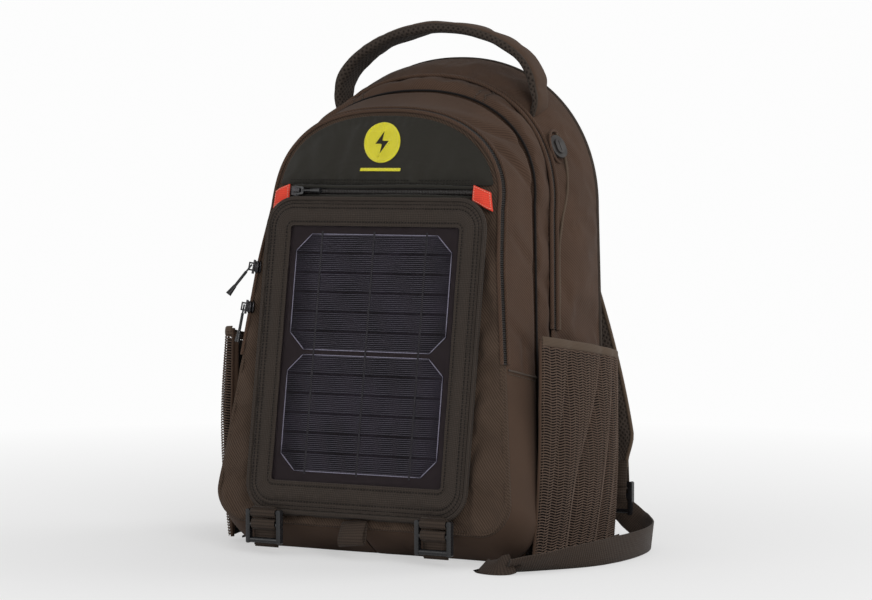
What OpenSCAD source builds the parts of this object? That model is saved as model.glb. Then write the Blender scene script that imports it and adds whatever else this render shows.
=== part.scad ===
// Solar-panel backpack: a day pack whose front carries a stitched pad with a two-block
// monocrystalline panel, a zipped front compartment, a zipped main compartment with a laptop
// sleeve, mesh side pockets, shoulder straps and a padded grab handle.
// Frame: +Z up, the bag's front faces -Y, +X is on the right of a viewer facing the front.
// Origin: on the ground, under the middle of the bag. Millimetres.

/* [Stance] */
// Lean of the front face back from vertical, in degrees
lean = 9; // [7:0.5:10]
// Height of the panel's centre above the ground
panel_z = 177; // [175:1:180]
// Distance of the panel's centre in front of the origin
panel_y = 80; // [78:1:84]
// Back face of the bag's body behind the origin
back_y = 96; // [94:1:98]

/* [Solar panel] */
// Width of one wafer strip, which is a whole 156 mm wafer
strip_w = 156; // [150:1:157]
// Height of one strip: a wafer cut in nine
strip_h = 17.2; // [16:0.1:17.4]
// Strips in each of the two blocks
strips = 6; // [4:1:6]
// Corner cut of the pseudo-square wafer
wafer_cut = 14.6; // [10:0.2:15]
// Gap between the two blocks
block_gap = 3.4; // [2:0.2:4]
// Width of the laminate
laminate_w = 178; // [176:1:180]
// Height of the laminate
laminate_h = 235; // [233:1:237]

/* [Pad] */
// Width of the stitched pad round the panel
pad_w = 216; // [212:1:218]
// Height of the pad
pad_h = 277; // [275:1:278]
// Corner radius of the pad
pad_r = 26; // [20:1:30]
// Width of the window over the panel
window_w = 168; // [166:1:170]
// Height of the window
window_h = 225; // [223:1:227]
// Thickness of the pad
pad_t = 8; // [7.5:0.1:8.2]

/* [Straps] */
// Width of the webbing
webbing_w = 25; // [22:1:26]
// Thickness of the webbing
webbing_t = 1.6; // [1.2:0.1:2]
// Width of a shoulder strap
strap_w = 52; // [45:1:56]
// Thickness of a shoulder strap
strap_t = 10; // [8:0.5:11]

/* [Hidden] */
$fn = 48;
gap = 0.3;
cloth = 2;
pad_drop = -2.5;
pad_foot = pad_drop - pad_h / 2;
pad_head = pad_drop + pad_h / 2;
block_h = strips * strip_h;

// Outlines: [half width where the arch starts, its height, top of the arch, roundness,
// half width at the foot, foot, foot's corner radius]
face_arch = [111, 130, 213, 2.4, 142, -148, 25];
crease_arch = [120, 140, 238, 2.2, 146, -168, 30];
mouth_arch = [129, 135, 257, 2.15, 152, -165, 30];
back_arch = [140, 300, 437, 2.15, 148, 0.5, 32];

// Depths behind the pad's front plane
flap_at = 9;
flap_t = 3;
gusset_at = 12.5;
crease_at = 60;
mouth_at = 85;

// Zip tapes: how far they stand out of their arch, and the height where each zip ends
tape_out = 2.4;
front_zip_end = -6;
main_zip_end = 31;

fabric_colour = [0.16, 0.14, 0.13];
side_colour = [0.25, 0.21, 0.18];
heather_colour = [0.24, 0.23, 0.22];
mesh_colour = [0.20, 0.17, 0.15];
plastic_colour = [0.08, 0.08, 0.09];
metal_colour = [0.45, 0.45, 0.47];
web_colour = [0.22, 0.19, 0.16];

// ---------- outlines ----------

// Right half of an arch, from its foot up to its crown
function half_arch(a) = concat(
  [for (t = [-90:18:0]) [a[4] - a[6] + a[6] * cos(t), a[5] + a[6] + a[6] * sin(t)]],
  [for (t = [0:6:90]) [a[0] * pow(cos(t), 2 / a[3]), a[1] + (a[2] - a[1]) * pow(sin(t), 2 / a[3])]]
);

function mirrored(p) = [for (i = [len(p) - 2:-1:0]) [-p[i][0], p[i][1]]];

function arch(a) = let (h = half_arch(a)) concat(h, mirrored(h));

// The same arch drawn smaller by d all round
function inset(a, d) = [a[0] - d, a[1], a[2] - d, a[3], a[4] - d, a[5] + d, max(a[6] - d, 3)];

function rounded(w, h, r, c = [0, 0]) = [
  for (q = [0:3], t = [0:15:90])
    let (sx = (q == 0 || q == 3) ? 1 : -1, sy = q < 2 ? 1 : -1)
      [c[0] + sx * (w / 2 - r) + r * cos(q * 90 + t), c[1] + sy * (h / 2 - r) + r * sin(q * 90 + t)]
];

function bezier(p, t) =
  pow(1 - t, 3) * p[0] + 3 * pow(1 - t, 2) * t * p[1] + 3 * (1 - t) * t * t * p[2] + t * t * t * p[3];

function heading(p, t) = let (d = bezier(p, t + 0.01) - bezier(p, t - 0.01)) d / norm(d);

// A band of width w, or w to w2, that follows a curve
function band(p, w, w2, n = 18) = let (
  side = function (s) [
    for (i = [0:n])
      let (t = i / n, d = heading(p, t), half = (w + (w2 - w) * t) / 2)
        bezier(p, t) + s * half * [d[1], -d[0]]
  ],
  left = side(1),
  right = side(-1)
) concat(left, [for (i = [n:-1:0]) right[i]]);

// ---------- placing ----------

// Local X, Y are across and up the leaning front face; local Z points out of it
module on_face(depth = 0)
  translate([0, -panel_y, panel_z]) rotate([90 - lean, 0, 0]) translate([0, 0, -depth]) children();

// A flat outline extruded between two depths behind the pad's front plane
module plate(near, far)
  on_face(far) linear_extrude(far - near) children();

// A flat outline, drawn as X and Z, extruded between two Y planes
module upright(near, far)
  translate([0, far, 0]) rotate([90, 0, 0]) linear_extrude(far - near) children();

module both_sides() {
  children();
  mirror([1, 0, 0]) children();
}

// A tapering tube of cloth between two outlines on the leaning face
module face_tube(a, near, b, far) difference() {
  hull() {
    plate(near, near + 0.5) polygon(arch(a));
    plate(far - 0.5, far) polygon(arch(b));
  }
  hull() {
    plate(near - 1.5, near - 1) polygon(arch(inset(a, cloth)));
    plate(far + 1, far + 1.5) polygon(arch(inset(b, cloth)));
  }
}

// The part of a ring round an arch that a zip covers, above height low
module zip_ring(a, out, in, low) difference() {
  polygon(arch(inset(a, -out)));
  polygon(arch(inset(a, in)));
  translate([-200, low - 400]) square([400, 400]);
}

// ---------- solar pad ----------

module pad_frame_cover() color(heather_colour) plate(-1, 1)
  difference() {
    polygon(rounded(pad_w - 6, pad_h - 6, pad_r - 3, [0, pad_drop]));
    polygon(rounded(window_w, window_h, 3, [0, -1]));
  }

module pad_piping() color(heather_colour) plate(-1, 3)
  difference() {
    polygon(rounded(pad_w, pad_h, pad_r, [0, pad_drop]));
    polygon(rounded(pad_w - 5.6, pad_h - 5.6, pad_r - 2.8, [0, pad_drop]));
  }

module pad_foam() color([0.1, 0.1, 0.1]) plate(1 + gap, pad_t - 1.8)
  difference() {
    polygon(rounded(pad_w - 6, pad_h - 6, pad_r - 3, [0, pad_drop]));
    polygon(rounded(laminate_w + 1, laminate_h + 1, 3, [0, -1]));
  }

module pad_back_cover() color(fabric_colour) plate(pad_t - 1.5, pad_t - 0.5)
  difference() {
    polygon(rounded(pad_w - 2, pad_h - 2, pad_r - 1, [0, pad_drop]));
    polygon(rounded(72, 52, 4, [0, box_v]));
  }

module pad_hook_tapes() color([0.06, 0.06, 0.06]) both_sides() plate(pad_t - 0.4, pad_t)
  polygon(rounded(20, 200, 3, [86, 5]));

module laminate_sheet(near, far) plate(near, far)
  polygon(rounded(laminate_w, laminate_h, 2, [0, -1]));

module panel_front_sheet() color([0.5, 0.55, 0.6, 0.3]) laminate_sheet(1.1, 1.6);

module panel_backsheet() color([0.03, 0.03, 0.04]) laminate_sheet(2.3, 4);

// One strip; first and last strips of a block carry the wafer's cut corners
module strip(cut_top, cut_foot) let (h = strip_h - 0.5, w = strip_w / 2)
  polygon(concat(
    cut_foot ? [[-w, wafer_cut], [-w + wafer_cut, 0], [w - wafer_cut, 0], [w, wafer_cut]]
             : [[-w, 0], [w, 0]],
    cut_top ? [[w, h - wafer_cut], [w - wafer_cut, h], [-w + wafer_cut, h], [-w, h - wafer_cut]]
            : [[w, h], [-w, h]]
  ));

module cell_strips() color([0.06, 0.06, 0.12])
  for (block = [0, 1], i = [0:strips - 1])
    plate(1.9, 2.2)
      translate([0, (block == 0 ? block_gap / 2 : -block_gap / 2 - block_h) + i * strip_h + 0.25])
        strip(i == strips - 1, i == 0);

module busbar_ribbons() color([0.2, 0.2, 0.22])
  for (x = [-strip_w / 3, 0, strip_w / 3])
    plate(1.65, 1.85) translate([x - 0.9, -block_h - block_gap / 2 - 2])
      square([1.8, 2 * block_h + block_gap + 4]);

// Junction box on the back of the laminate, over the pocket
box_v = -78;
box_w = 64;
box_h = 44;

module junction_box() color(plastic_colour) difference() {
  plate(4.1, 11.5) polygon(rounded(box_w, box_h, 4, [0, box_v]));
  plate(5.6, 12) polygon(rounded(box_w - 4, box_h - 4, 2, [0, box_v]));
  on_face(8.5) translate([0, box_v + box_h / 2 + 1, 0]) rotate([90, 0, 0]) cylinder(h = 6, r = 2.2);
}

module junction_box_lid() color(plastic_colour)
  plate(11.7, 13.2) polygon(rounded(box_w, box_h, 4, [0, box_v]));

module regulator_board() color([0.05, 0.3, 0.15]) {
  plate(5.9, 7.1) polygon(rounded(56, 36, 1, [0, box_v]));
  for (x = [-18, 0, 16])
    plate(5.65 + 1.6, 9.6) polygon(rounded(9, 12, 1, [x, box_v - 4]));
}

// ---------- front flap ----------

module front_flap_panel() color(fabric_colour) plate(flap_at, flap_at + flap_t)
  difference() {
    polygon(arch(face_arch));
    polygon(rounded(box_w + 14, box_h + 20, 4, [0, box_v + 4]));
  }

module flap_loop_tapes() color([0.1, 0.1, 0.1]) both_sides() plate(pad_t + 0.2, flap_at - 0.2)
  polygon(rounded(20, 200, 3, [86, 5]));

// The arch's top above a height, drawn smaller by a margin
module arch_top(margin, low) intersection() {
  polygon(arch(inset(face_arch, margin)));
  translate([-150, low]) square([300, 100]);
}

pocket_front_at = 3.6;

module logo_pocket() color(fabric_colour) hull() {
  plate(flap_at - 1.2, flap_at - gap) arch_top(8, 149);
  plate(pocket_front_at, pocket_front_at + 0.4) arch_top(14, 155);
}

// Round badge with a bolt mark, and a plain bar under it
emblem_v = 186;
emblem_r = 18;
emblem_t = 0.6;
bar_v = 162;
bar_w = 40;
bar_h = 3;

module emblem_patch() color([0.9, 0.85, 0.1])
  plate(pocket_front_at - gap - emblem_t, pocket_front_at - gap) {
    translate([0, emblem_v]) difference() {
      circle(r = emblem_r);
      polygon([[3, 13], [-8, -2], [-1, -2], [-3, -13], [8, 2], [1, 2]]);
    }
    translate([0, bar_v]) square([bar_w, bar_h], center = true);
  }

// The pocket's zip: its tape, and its closed coil in the middle
pocket_zip_w = 180;
pocket_zip_v = 143;
pocket_tape_h = 9;
pocket_coil_h = 3;

module pocket_zip() color(fabric_colour) {
  plate(flap_at - 1.6, flap_at - gap)
    translate([0, pocket_zip_v]) square([pocket_zip_w, pocket_tape_h], center = true);
  plate(flap_at - 3, flap_at - 1.9)
    translate([0, pocket_zip_v]) square([pocket_zip_w, pocket_coil_h], center = true);
}

module side_tabs() color([0.85, 0.12, 0.1]) both_sides()
  plate(flap_at - 4.6, flap_at - gap) polygon([[91, 135.5], [109.6, 126.5], [107, 142.5], [91.5, 149]]);

module front_zip_outer_tape() color(fabric_colour)
  plate(flap_at, flap_at + 1.6) zip_ring(face_arch, tape_out, -0.2, front_zip_end);

module front_zip_inner_tape() color(fabric_colour)
  plate(flap_at + 2, flap_at + 3.4) zip_ring(face_arch, tape_out, -0.2, front_zip_end);

// ---------- ladder locks and webbing ----------

bar_r = 2.4;
lock_x = 84;
lock_y = -109.5;
lock_z = 37;

// Ladder lock, drawn flat: top bar on local X at the origin, hanging down local -Y
module ladder_lock() {
  for (side = [-1, 1]) translate([side * (webbing_w / 2 + 3), 0, -2.5])
    linear_extrude(5) polygon(rounded(4, 30, 1.6, [0, -12.2]));
  for (y = [0, -10.5, -24.2])
    translate([-webbing_w / 2 - 2, y, 0]) rotate([0, 90, 0]) cylinder(h = webbing_w + 4, r = bar_r);
  // Lip that the fingers pull to let the webbing slip
  translate([-webbing_w / 2 - 2, -27, -2.5]) cube([webbing_w + 4, 3, 2]);
}

// Webbing sewn round a bar on X at the origin
module eyelet(width) rotate([0, 90, 0]) difference() {
  cylinder(h = width, r = bar_r + 0.08 + webbing_t, center = true);
  cylinder(h = width + 1, r = bar_r + 0.08, center = true);
}

module bottom_ladder_lock(side) color(plastic_colour)
  translate([side * lock_x, lock_y, lock_z]) rotate([90, 0, 0]) ladder_lock();

module bottom_ladder_lock_left() bottom_ladder_lock(-1);
module bottom_ladder_lock_right() bottom_ladder_lock(1);

tongue_z = lock_z - bar_r - 0.08 - webbing_t;
loop_drop = 18;

module bottom_webbing() color(web_colour) {
  both_sides() {
    translate([lock_x, lock_y, lock_z]) eyelet(webbing_w);
    translate([lock_x - webbing_w / 2, lock_y, tongue_z - 0.6]) cube([webbing_w, 13, webbing_t]);
  }
  // Centre loop, for lashing kit under the bag
  difference() {
    translate([-webbing_w / 2, -106, lock_z - 4 - loop_drop]) cube([webbing_w, 9, loop_drop]);
    translate([-webbing_w, -106 + webbing_t, lock_z - 4 - loop_drop + webbing_t])
      cube([webbing_w * 2, 9 - 2 * webbing_t, loop_drop - 2 * webbing_t]);
  }
}

// ---------- power bank ----------

// Centre of the bank up the face, its outline, its depths and its wall
bank_v = 30;
bank_w = 72;
bank_h = 140;
bank_near = 44;
bank_split = 50;
bank_far = 58;
bank_wall = 1.6;
button_v = bank_v + 52;

module bank_outline(in = 0)
  polygon(rounded(bank_w - 2 * in, bank_h - 2 * in, 8 - in, [0, bank_v]));

module power_bank_case() color(plastic_colour) difference() {
  plate(bank_split + 0.2, bank_far) bank_outline();
  plate(bank_split - 1, bank_far - bank_wall) bank_outline(bank_wall);
}

module power_bank_lid() color(plastic_colour) difference() {
  plate(bank_near, bank_split) bank_outline();
  plate(bank_near + bank_wall, bank_split + 1) bank_outline(bank_wall);
  on_face(bank_near + 3) translate([22, button_v, 0]) cylinder(h = 6, r = 4.28);
}

module battery_cells() color([0.6, 0.62, 0.65]) for (x = [-16.5, 16.5])
  plate(bank_near + 2.2, bank_far - 2.2) polygon(rounded(31.5, 104, 2, [x, bank_v - 14]));

module power_bank_board() color([0.05, 0.3, 0.15]) {
  plate(bank_split + 0.5, bank_split + 2) polygon(rounded(64, 26, 1, [0, bank_v + 53]));
  for (x = [-20, 0])
    plate(bank_split + 1.9, bank_far - 2) polygon(rounded(13, 14, 1, [x, bank_v + 60]));
}

module power_bank_button() color(metal_colour)
  on_face(bank_near + 3.2) translate([22, button_v, 0]) cylinder(h = 4, r = 4.2);

// Mesh sleeve on the wall between the compartments, open at the top
sleeve_h = 96;

module sleeve_outline(grow, top) polygon(rounded(
  bank_w + 2 * grow, sleeve_h + grow + top, 8 + grow,
  [0, bank_v - bank_h / 2 + (sleeve_h - grow + top) / 2]
));

module power_bank_sleeve() color(mesh_colour) difference() {
  plate(bank_near - 2, bank_far + 2) sleeve_outline(2, 0);
  plate(bank_near - 0.8, bank_far + 0.8) sleeve_outline(0.8, 20);
}

// Cable from the junction box's outlet up to the bank's input
module charge_cable() color(plastic_colour) {
  on_face(40) translate([46, box_v + 34, 0]) rotate([-90, 0, 0]) cylinder(h = 140, r = 1.8);
  on_face(40) translate([46, box_v + 34, 0]) sphere(r = 1.8);
  on_face(40) translate([46, box_v + 34, 0]) cylinder(h = 24, r = 1.8);
}

// ---------- front section ----------

module front_gusset() color(side_colour) face_tube(face_arch, gusset_at, crease_arch, crease_at);

module main_front_shell() color(side_colour)
  face_tube(crease_arch, crease_at + gap, mouth_arch, mouth_at);

module main_front_wall() color(fabric_colour)
  plate(63, 64.5) polygon(arch(inset(crease_arch, 5)));

module main_zip_outer_tape() color(fabric_colour)
  plate(mouth_at + 0.05, mouth_at + 0.45) zip_ring(mouth_arch, tape_out, 2, main_zip_end);

module main_zip_inner_tape() color(fabric_colour)
  plate(mouth_at + 0.55, mouth_at + 0.95) zip_ring(mouth_arch, tape_out, 2, main_zip_end);

// Zip slider: travel along local Y, outside along local Z
module slider_body() {
  linear_extrude(2) polygon([[-3, -6], [3, -6], [4.6, 2], [3.6, 6.5], [-3.6, 6.5], [-4.6, 2]]);
  // Bridge that the pull hangs from
  for (y = [-3.6, 2.6]) translate([-1.5, y, 1.8]) cube([3, 1.4, 3.4]);
  translate([-1.5, -3.6, 4.6]) cube([3, 7.6, 1.2]);
}

// Pull threaded through the bridge by its round bar, hanging towards local -Y, lifted by an angle
pull_bar_y = 1.4;
pull_bar_z = 3.3;

module pull_tab(length, lift = 0)
  translate([0, pull_bar_y, pull_bar_z]) rotate([-lift, 0, 0]) {
    rotate([0, 90, 0]) cylinder(h = 7, r = 0.7, center = true);
    linear_extrude(1.4, center = true) difference() {
      polygon(rounded(7, 8.4, 2, [0, -4.2]));
      polygon(rounded(4.4, 7, 1.2, [0, -2.3]));
    }
    translate([0, -7.4, 0]) rotate([90, 0, 0]) cylinder(h = length - 16, r = 1.3);
    translate([0, 8.6 - length, 0]) rotate([90, 0, 0]) cylinder(h = 10, r1 = 1.6, r2 = 2.6);
  }

// The straight run of an arch: how far out it is at height v, and its slope
function run_x(a, v) = a[0] + (a[1] - v) * (a[4] - a[0]) / (a[1] - a[5] - a[6]);
function run_tilt(a) = atan((a[4] - a[0]) / (a[1] - a[5] - a[6]));

// Places a zip fitting on the left run of an arch's zip; tip turns it out towards the side
slider_lift = 3.6;

module on_left_run(a, v, depth, tip) on_face(depth)
  translate([-run_x(a, v) - tape_out, v, 0]) rotate([0, 0, -run_tilt(a)]) rotate([0, -tip, 0])
    translate([0, 0, slider_lift]) children();

front_upper_v = 74;
front_lower_v = 38;
front_pull = 32;
upper_pull_lift = 28;
// Depth of the front sliders, and how far each zip's fittings are turned out to the side
front_slider_at = flap_at + 1.7;
front_tip = 60;
main_tip = 85;
main_upper_v = 112;
main_lower_v = 76;
main_pull = 26;

module on_front_run(v) on_left_run(face_arch, v, front_slider_at, front_tip) children();
module on_main_run(v) on_left_run(mouth_arch, v, mouth_at + 0.1, main_tip) children();

module front_slider_upper() color(metal_colour) on_front_run(front_upper_v) slider_body();
module front_pull_upper() color(plastic_colour)
  on_front_run(front_upper_v) pull_tab(front_pull, upper_pull_lift);
module front_slider_lower() color(metal_colour) on_front_run(front_lower_v) slider_body();
module front_pull_lower() color(plastic_colour) on_front_run(front_lower_v) pull_tab(front_pull);

module main_slider_upper() color(metal_colour) on_main_run(main_upper_v) slider_body();
module main_pull_upper() color(plastic_colour) on_main_run(main_upper_v) pull_tab(main_pull);
module main_slider_lower() color(metal_colour) on_main_run(main_lower_v) slider_body();
module main_pull_lower() color(plastic_colour) on_main_run(main_lower_v) pull_tab(main_pull);

// The pocket's zip runs across, so its slider travels along X and its pull hangs down
pocket_slider_at = [-82, pocket_zip_v];
pocket_slider_depth = 5.6;
pocket_pull = 24;

module on_pocket_zip()
  on_face(pocket_slider_depth) translate(pocket_slider_at) rotate([0, 0, 90]) children();

module pocket_zip_slider() color(metal_colour) on_pocket_zip() slider_body();
module pocket_zip_pull() color(plastic_colour) on_pocket_zip() pull_tab(pocket_pull);

// ---------- rear section ----------

module rear_shell() color(side_colour) {
  difference() {
    hull() {
      plate(mouth_at + 1, mouth_at + 1.5) polygon(arch(mouth_arch));
      upright(back_y - 0.5, back_y) polygon(arch(back_arch));
    }
    hull() {
      plate(mouth_at - 1, mouth_at - 0.5) polygon(arch(inset(mouth_arch, cloth)));
      upright(back_y + 1, back_y + 1.5) polygon(arch(inset(back_arch, cloth)));
    }
  }
  // Doubled cloth of the base, which the bag stands on
  translate([0, back_y / 2 - 10, 0]) linear_extrude(1.5) polygon(rounded(228, back_y + 12, 12));
}

module laptop_divider() color(fabric_colour)
  upright(76, 79) polygon(rounded(252, 290, 20, [0, 152]));

module frame_sheet() color([0.1, 0.1, 0.1])
  upright(back_y - 4, back_y - 2.2) polygon(arch(inset(back_arch, 14)));

module back_panel() color(fabric_colour)
  upright(back_y + gap, back_y + 3) polygon(arch(back_arch));

module back_pads() color(mesh_colour) {
  both_sides() upright(back_y + 3.3, back_y + 12) polygon(rounded(78, 232, 26, [58, 246]));
  upright(back_y + 3.3, back_y + 14) polygon(rounded(216, 82, 30, [0, 70]));
}

// Side pocket of knitted mesh: a bowed wall and a floor, open at the top
pocket_front = -22;
pocket_back = 92;
pocket_foot = 5;

function pocket_wall(grow) = [
  for (i = [0:12])
    let (t = i / 12, y = pocket_front + (pocket_back - pocket_front) * t)
      [149 + 8 * t + grow * (0.25 + 0.75 * pow(sin(180 * t), 0.6)), y]
];

module pocket_plan(out, in) polygon(concat(
  pocket_wall(out),
  [for (i = [12:-1:0]) pocket_wall(in)[i]]
));

module pocket_block(low, high, out, in) difference() {
  translate([0, 0, low]) linear_extrude(high - low) pocket_plan(out, in);
  // The mouth falls towards the back
  translate([100, pocket_front, 193]) rotate([-8.5, 0, 0]) translate([0, -40, 0]) cube([120, 220, 80]);
}

module mesh_pockets() color(mesh_colour) both_sides() {
  pocket_block(pocket_foot, 184, 19, 17);
  translate([0, 0, pocket_foot]) linear_extrude(1.5) pocket_plan(18, 2);
}

module pocket_bands() color(web_colour) both_sides() difference() {
  pocket_block(160, 220, 20.8, 19.2);
  translate([100, pocket_front, 183]) rotate([-8.5, 0, 0]) translate([0, -40, -80]) cube([120, 220, 80]);
}

// Rubber port for a cable on the right shoulder of the bag; its lips stay shut at rest
port_at = [122.6, 51.5, 356.2];
port_turn = [0, 64, -16];

module cable_port() color(plastic_colour) translate(port_at) rotate(port_turn) difference() {
  union() {
    linear_extrude(1.6) polygon(rounded(22, 18, 8.9));
    linear_extrude(3) polygon(rounded(14, 9, 4.4));
  }
  translate([-5, -0.4, 2]) cube([10, 0.8, 2]);
}

// ---------- handle ----------

handle_y = 60;
handle_foot = 408;

function rib(w, top, n = 2.3) = [
  for (t = [0:6:180])
    [w * sign(cos(t)) * pow(abs(cos(t)), 2 / n), handle_foot + (top - handle_foot) * pow(sin(t), 2 / n)]
];

module rib_between(w, top, thick) let (out = rib(w, top), in = rib(w - thick, top - thick))
  polygon(concat(out, [for (i = [len(in) - 1:-1:0]) in[i]]));

module grab_handle() color(fabric_colour)
  upright(handle_y - 15, handle_y + 15) rib_between(104, 469, 6);

module handle_lining() color(mesh_colour)
  upright(handle_y - 13, handle_y + 13) rib_between(97.6, 462.6, 4.5);

// ---------- shoulder straps ----------

strap_line = [[52, 392], [66, 300], [128, 210], [148, 66]];
strap_y = back_y + 15;
strap_mid = strap_y + strap_t / 2;
strap_lock_x = 150;
strap_lock_z = 52;

module shoulder_strap() color(fabric_colour) {
  upright(strap_y, strap_y + strap_t) polygon(band(strap_line, strap_w + 8, strap_w - 10));
  translate([strap_lock_x, strap_mid, strap_lock_z]) eyelet(webbing_w);
  translate([strap_lock_x - webbing_w / 2, strap_mid - webbing_t / 2, strap_lock_z + bar_r + 0.4])
    cube([webbing_w, webbing_t, 14]);
}

module shoulder_strap_right() shoulder_strap();
module shoulder_strap_left() mirror([1, 0, 0]) shoulder_strap();

module strap_ladder_lock() color(plastic_colour)
  translate([strap_lock_x, strap_mid, strap_lock_z]) rotate([90, 0, 0]) ladder_lock();

module strap_ladder_lock_right() strap_ladder_lock();
module strap_ladder_lock_left() mirror([1, 0, 0]) strap_ladder_lock();

// Slack webbing from the foot of the bag's back corner; on the right it loops forward on the ground
right_loop = [[156, 94], [150, 20], [134, -60], [150, -112]];
right_return = [[164, -112], [214, -90], [218, 10], [190, 96]];
left_loop = [[-120, 116], [-134, 150], [-150, 154], [-164, 128]];

module lower_webbing() color(web_colour) {
  translate([0, 0, 0.2]) linear_extrude(webbing_t) polygon(band(right_loop, 14, 14));
  translate([0, 0, 2.2]) linear_extrude(webbing_t) polygon(band(right_return, 14, 14));
  translate([0, 0, 0.2]) linear_extrude(webbing_t) polygon(band(left_loop, 14, 14));
}

pad_frame_cover();
pad_piping();
pad_foam();
pad_back_cover();
pad_hook_tapes();
panel_front_sheet();
cell_strips();
busbar_ribbons();
panel_backsheet();
junction_box();
junction_box_lid();
regulator_board();
front_flap_panel();
flap_loop_tapes();
logo_pocket();
emblem_patch();
pocket_zip();
pocket_zip_slider();
pocket_zip_pull();
side_tabs();
front_zip_outer_tape();
bottom_webbing();
bottom_ladder_lock_left();
bottom_ladder_lock_right();
power_bank_case();
power_bank_lid();
battery_cells();
power_bank_board();
power_bank_button();
power_bank_sleeve();
charge_cable();
front_gusset();
front_zip_inner_tape();
main_front_shell();
main_front_wall();
main_zip_outer_tape();
front_slider_upper();
front_pull_upper();
front_slider_lower();
front_pull_lower();
rear_shell();
main_zip_inner_tape();
laptop_divider();
frame_sheet();
back_panel();
back_pads();
mesh_pockets();
pocket_bands();
cable_port();
lower_webbing();
main_slider_upper();
main_pull_upper();
main_slider_lower();
main_pull_lower();
grab_handle();
handle_lining();
shoulder_strap_left();
shoulder_strap_right();
strap_ladder_lock_left();
strap_ladder_lock_right();
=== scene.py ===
"""Looks of the solar backpack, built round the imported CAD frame.

Lengths are millimetres until a mesh is made, and meshes are in metres.
A point on the leaning front face is (x, v, depth): across, up the face, and into the bag.
"""

import math

import bpy
import numpy as np
from mathutils import Matrix, Vector


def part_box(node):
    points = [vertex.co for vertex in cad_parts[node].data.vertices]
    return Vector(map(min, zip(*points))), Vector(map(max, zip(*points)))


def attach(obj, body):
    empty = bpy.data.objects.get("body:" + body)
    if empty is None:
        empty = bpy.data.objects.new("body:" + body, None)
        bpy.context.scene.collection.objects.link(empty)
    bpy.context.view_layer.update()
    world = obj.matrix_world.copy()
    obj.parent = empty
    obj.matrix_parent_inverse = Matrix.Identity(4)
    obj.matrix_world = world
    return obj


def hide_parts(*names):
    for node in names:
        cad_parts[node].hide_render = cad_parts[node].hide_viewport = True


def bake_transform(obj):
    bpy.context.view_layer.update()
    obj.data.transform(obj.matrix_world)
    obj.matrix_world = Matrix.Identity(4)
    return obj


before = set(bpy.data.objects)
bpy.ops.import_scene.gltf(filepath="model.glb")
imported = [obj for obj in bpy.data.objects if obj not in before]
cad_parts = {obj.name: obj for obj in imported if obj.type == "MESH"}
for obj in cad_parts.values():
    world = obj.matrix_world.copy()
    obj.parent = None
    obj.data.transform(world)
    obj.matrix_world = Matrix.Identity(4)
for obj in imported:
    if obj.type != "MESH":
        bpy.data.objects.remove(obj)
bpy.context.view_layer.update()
MM = 0.001


# ---------- the frame's own places ----------

def box(node):
    """Lowest and highest corner of a CAD node, in millimetres."""
    low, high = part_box(node)
    return np.array(low) / MM, np.array(high) / MM


def middle(node):
    low, high = box(node)
    return (low + high) / 2


LEAN = math.radians(9)
UP = np.array([0, math.sin(LEAN), math.cos(LEAN)])
INTO = np.array([0, math.cos(LEAN), -math.sin(LEAN)])
ACROSS = np.array([1.0, 0, 0])
SHEET_V = -1
SHEET_DEPTH = 1.35
FACE = middle("panel_front_sheet") - SHEET_V * UP - SHEET_DEPTH * INTO


def on_face(x, v, depth):
    """World points of places on the leaning face. The arguments are numbers or arrays."""
    x, v, depth = np.broadcast_arrays(np.asarray(x, float), v, depth)
    return FACE + x[..., None] * ACROSS + v[..., None] * UP + depth[..., None] * INTO


# Half width where the arch starts, that height, crown, roundness, half width at the foot, foot, corner radius
FACE_ARCH = (111, 130, 213, 2.4, 142, -148, 25)
CREASE_ARCH = (120, 140, 238, 2.2, 146, -168, 30)
MOUTH_ARCH = (129, 135, 257, 2.15, 152, -165, 30)
BACK_ARCH = (140, 300, 437, 2.15, 148, 0.5, 32)
FLAP_DEPTH = 9
GUSSET_DEPTH = 13.5
CREASE_DEPTH = 60
MOUTH_DEPTH = 85
FRONT_ZIP_END = -6
MAIN_ZIP_END = 31
BACK_Y = box("back_panel")[0][1]

# Points along half an arch: under the foot, round its corner, up the side and over to the crown
HALF_COUNTS = (14, 12, 64, 60)


def even(points, count):
    """The same line with evenly spaced points."""
    points = np.asarray(points, float)
    steps = np.linalg.norm(np.diff(points, axis=0), axis=1)
    along = np.concatenate([[0], np.cumsum(steps)])
    at = np.linspace(0, along[-1], count)
    return np.stack([np.interp(at, along, points[:, k]) for k in range(points.shape[1])], axis=1)


def arch(a, grow=0.0):
    """An arch's outline, from the middle of its foot round by +X and back to the same place."""
    side_x, side_v, crown, n, foot_x, foot_v, corner = a
    side_x, foot_x, crown, foot_v, corner = (
        side_x + grow, foot_x + grow, crown + grow, foot_v - grow, max(corner + grow, 3))
    under, bend, run, top = HALF_COUNTS
    foot = np.stack([np.linspace(0, foot_x - corner, under + 1), np.full(under + 1, foot_v)], axis=1)
    turn = np.radians(np.linspace(-90, 0, bend + 1))
    heel = np.stack([foot_x - corner + corner * np.cos(turn), foot_v + corner + corner * np.sin(turn)],
                    axis=1)
    side = np.stack([np.linspace(foot_x, side_x, run + 1), np.linspace(foot_v + corner, side_v, run + 1)],
                    axis=1)
    t = np.radians(np.linspace(0, 90, 200))
    head = np.stack([side_x * np.cos(t) ** (2 / n), side_v + (crown - side_v) * np.sin(t) ** (2 / n)], axis=1)
    half = np.concatenate([foot[:-1], heel[:-1], side[:-1], even(head, top + 1)])
    other = half[-2::-1] * [-1, 1]
    return np.concatenate([half, other])


def outward(outline):
    """Unit vectors that point out of a closed outline drawn anticlockwise."""
    along = np.gradient(outline, axis=0)
    along[0] = along[-1] = outline[1] - outline[-2]
    normal = np.stack([along[:, 1], -along[:, 0]], axis=1)
    return normal / np.linalg.norm(normal, axis=1)[:, None]


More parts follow.
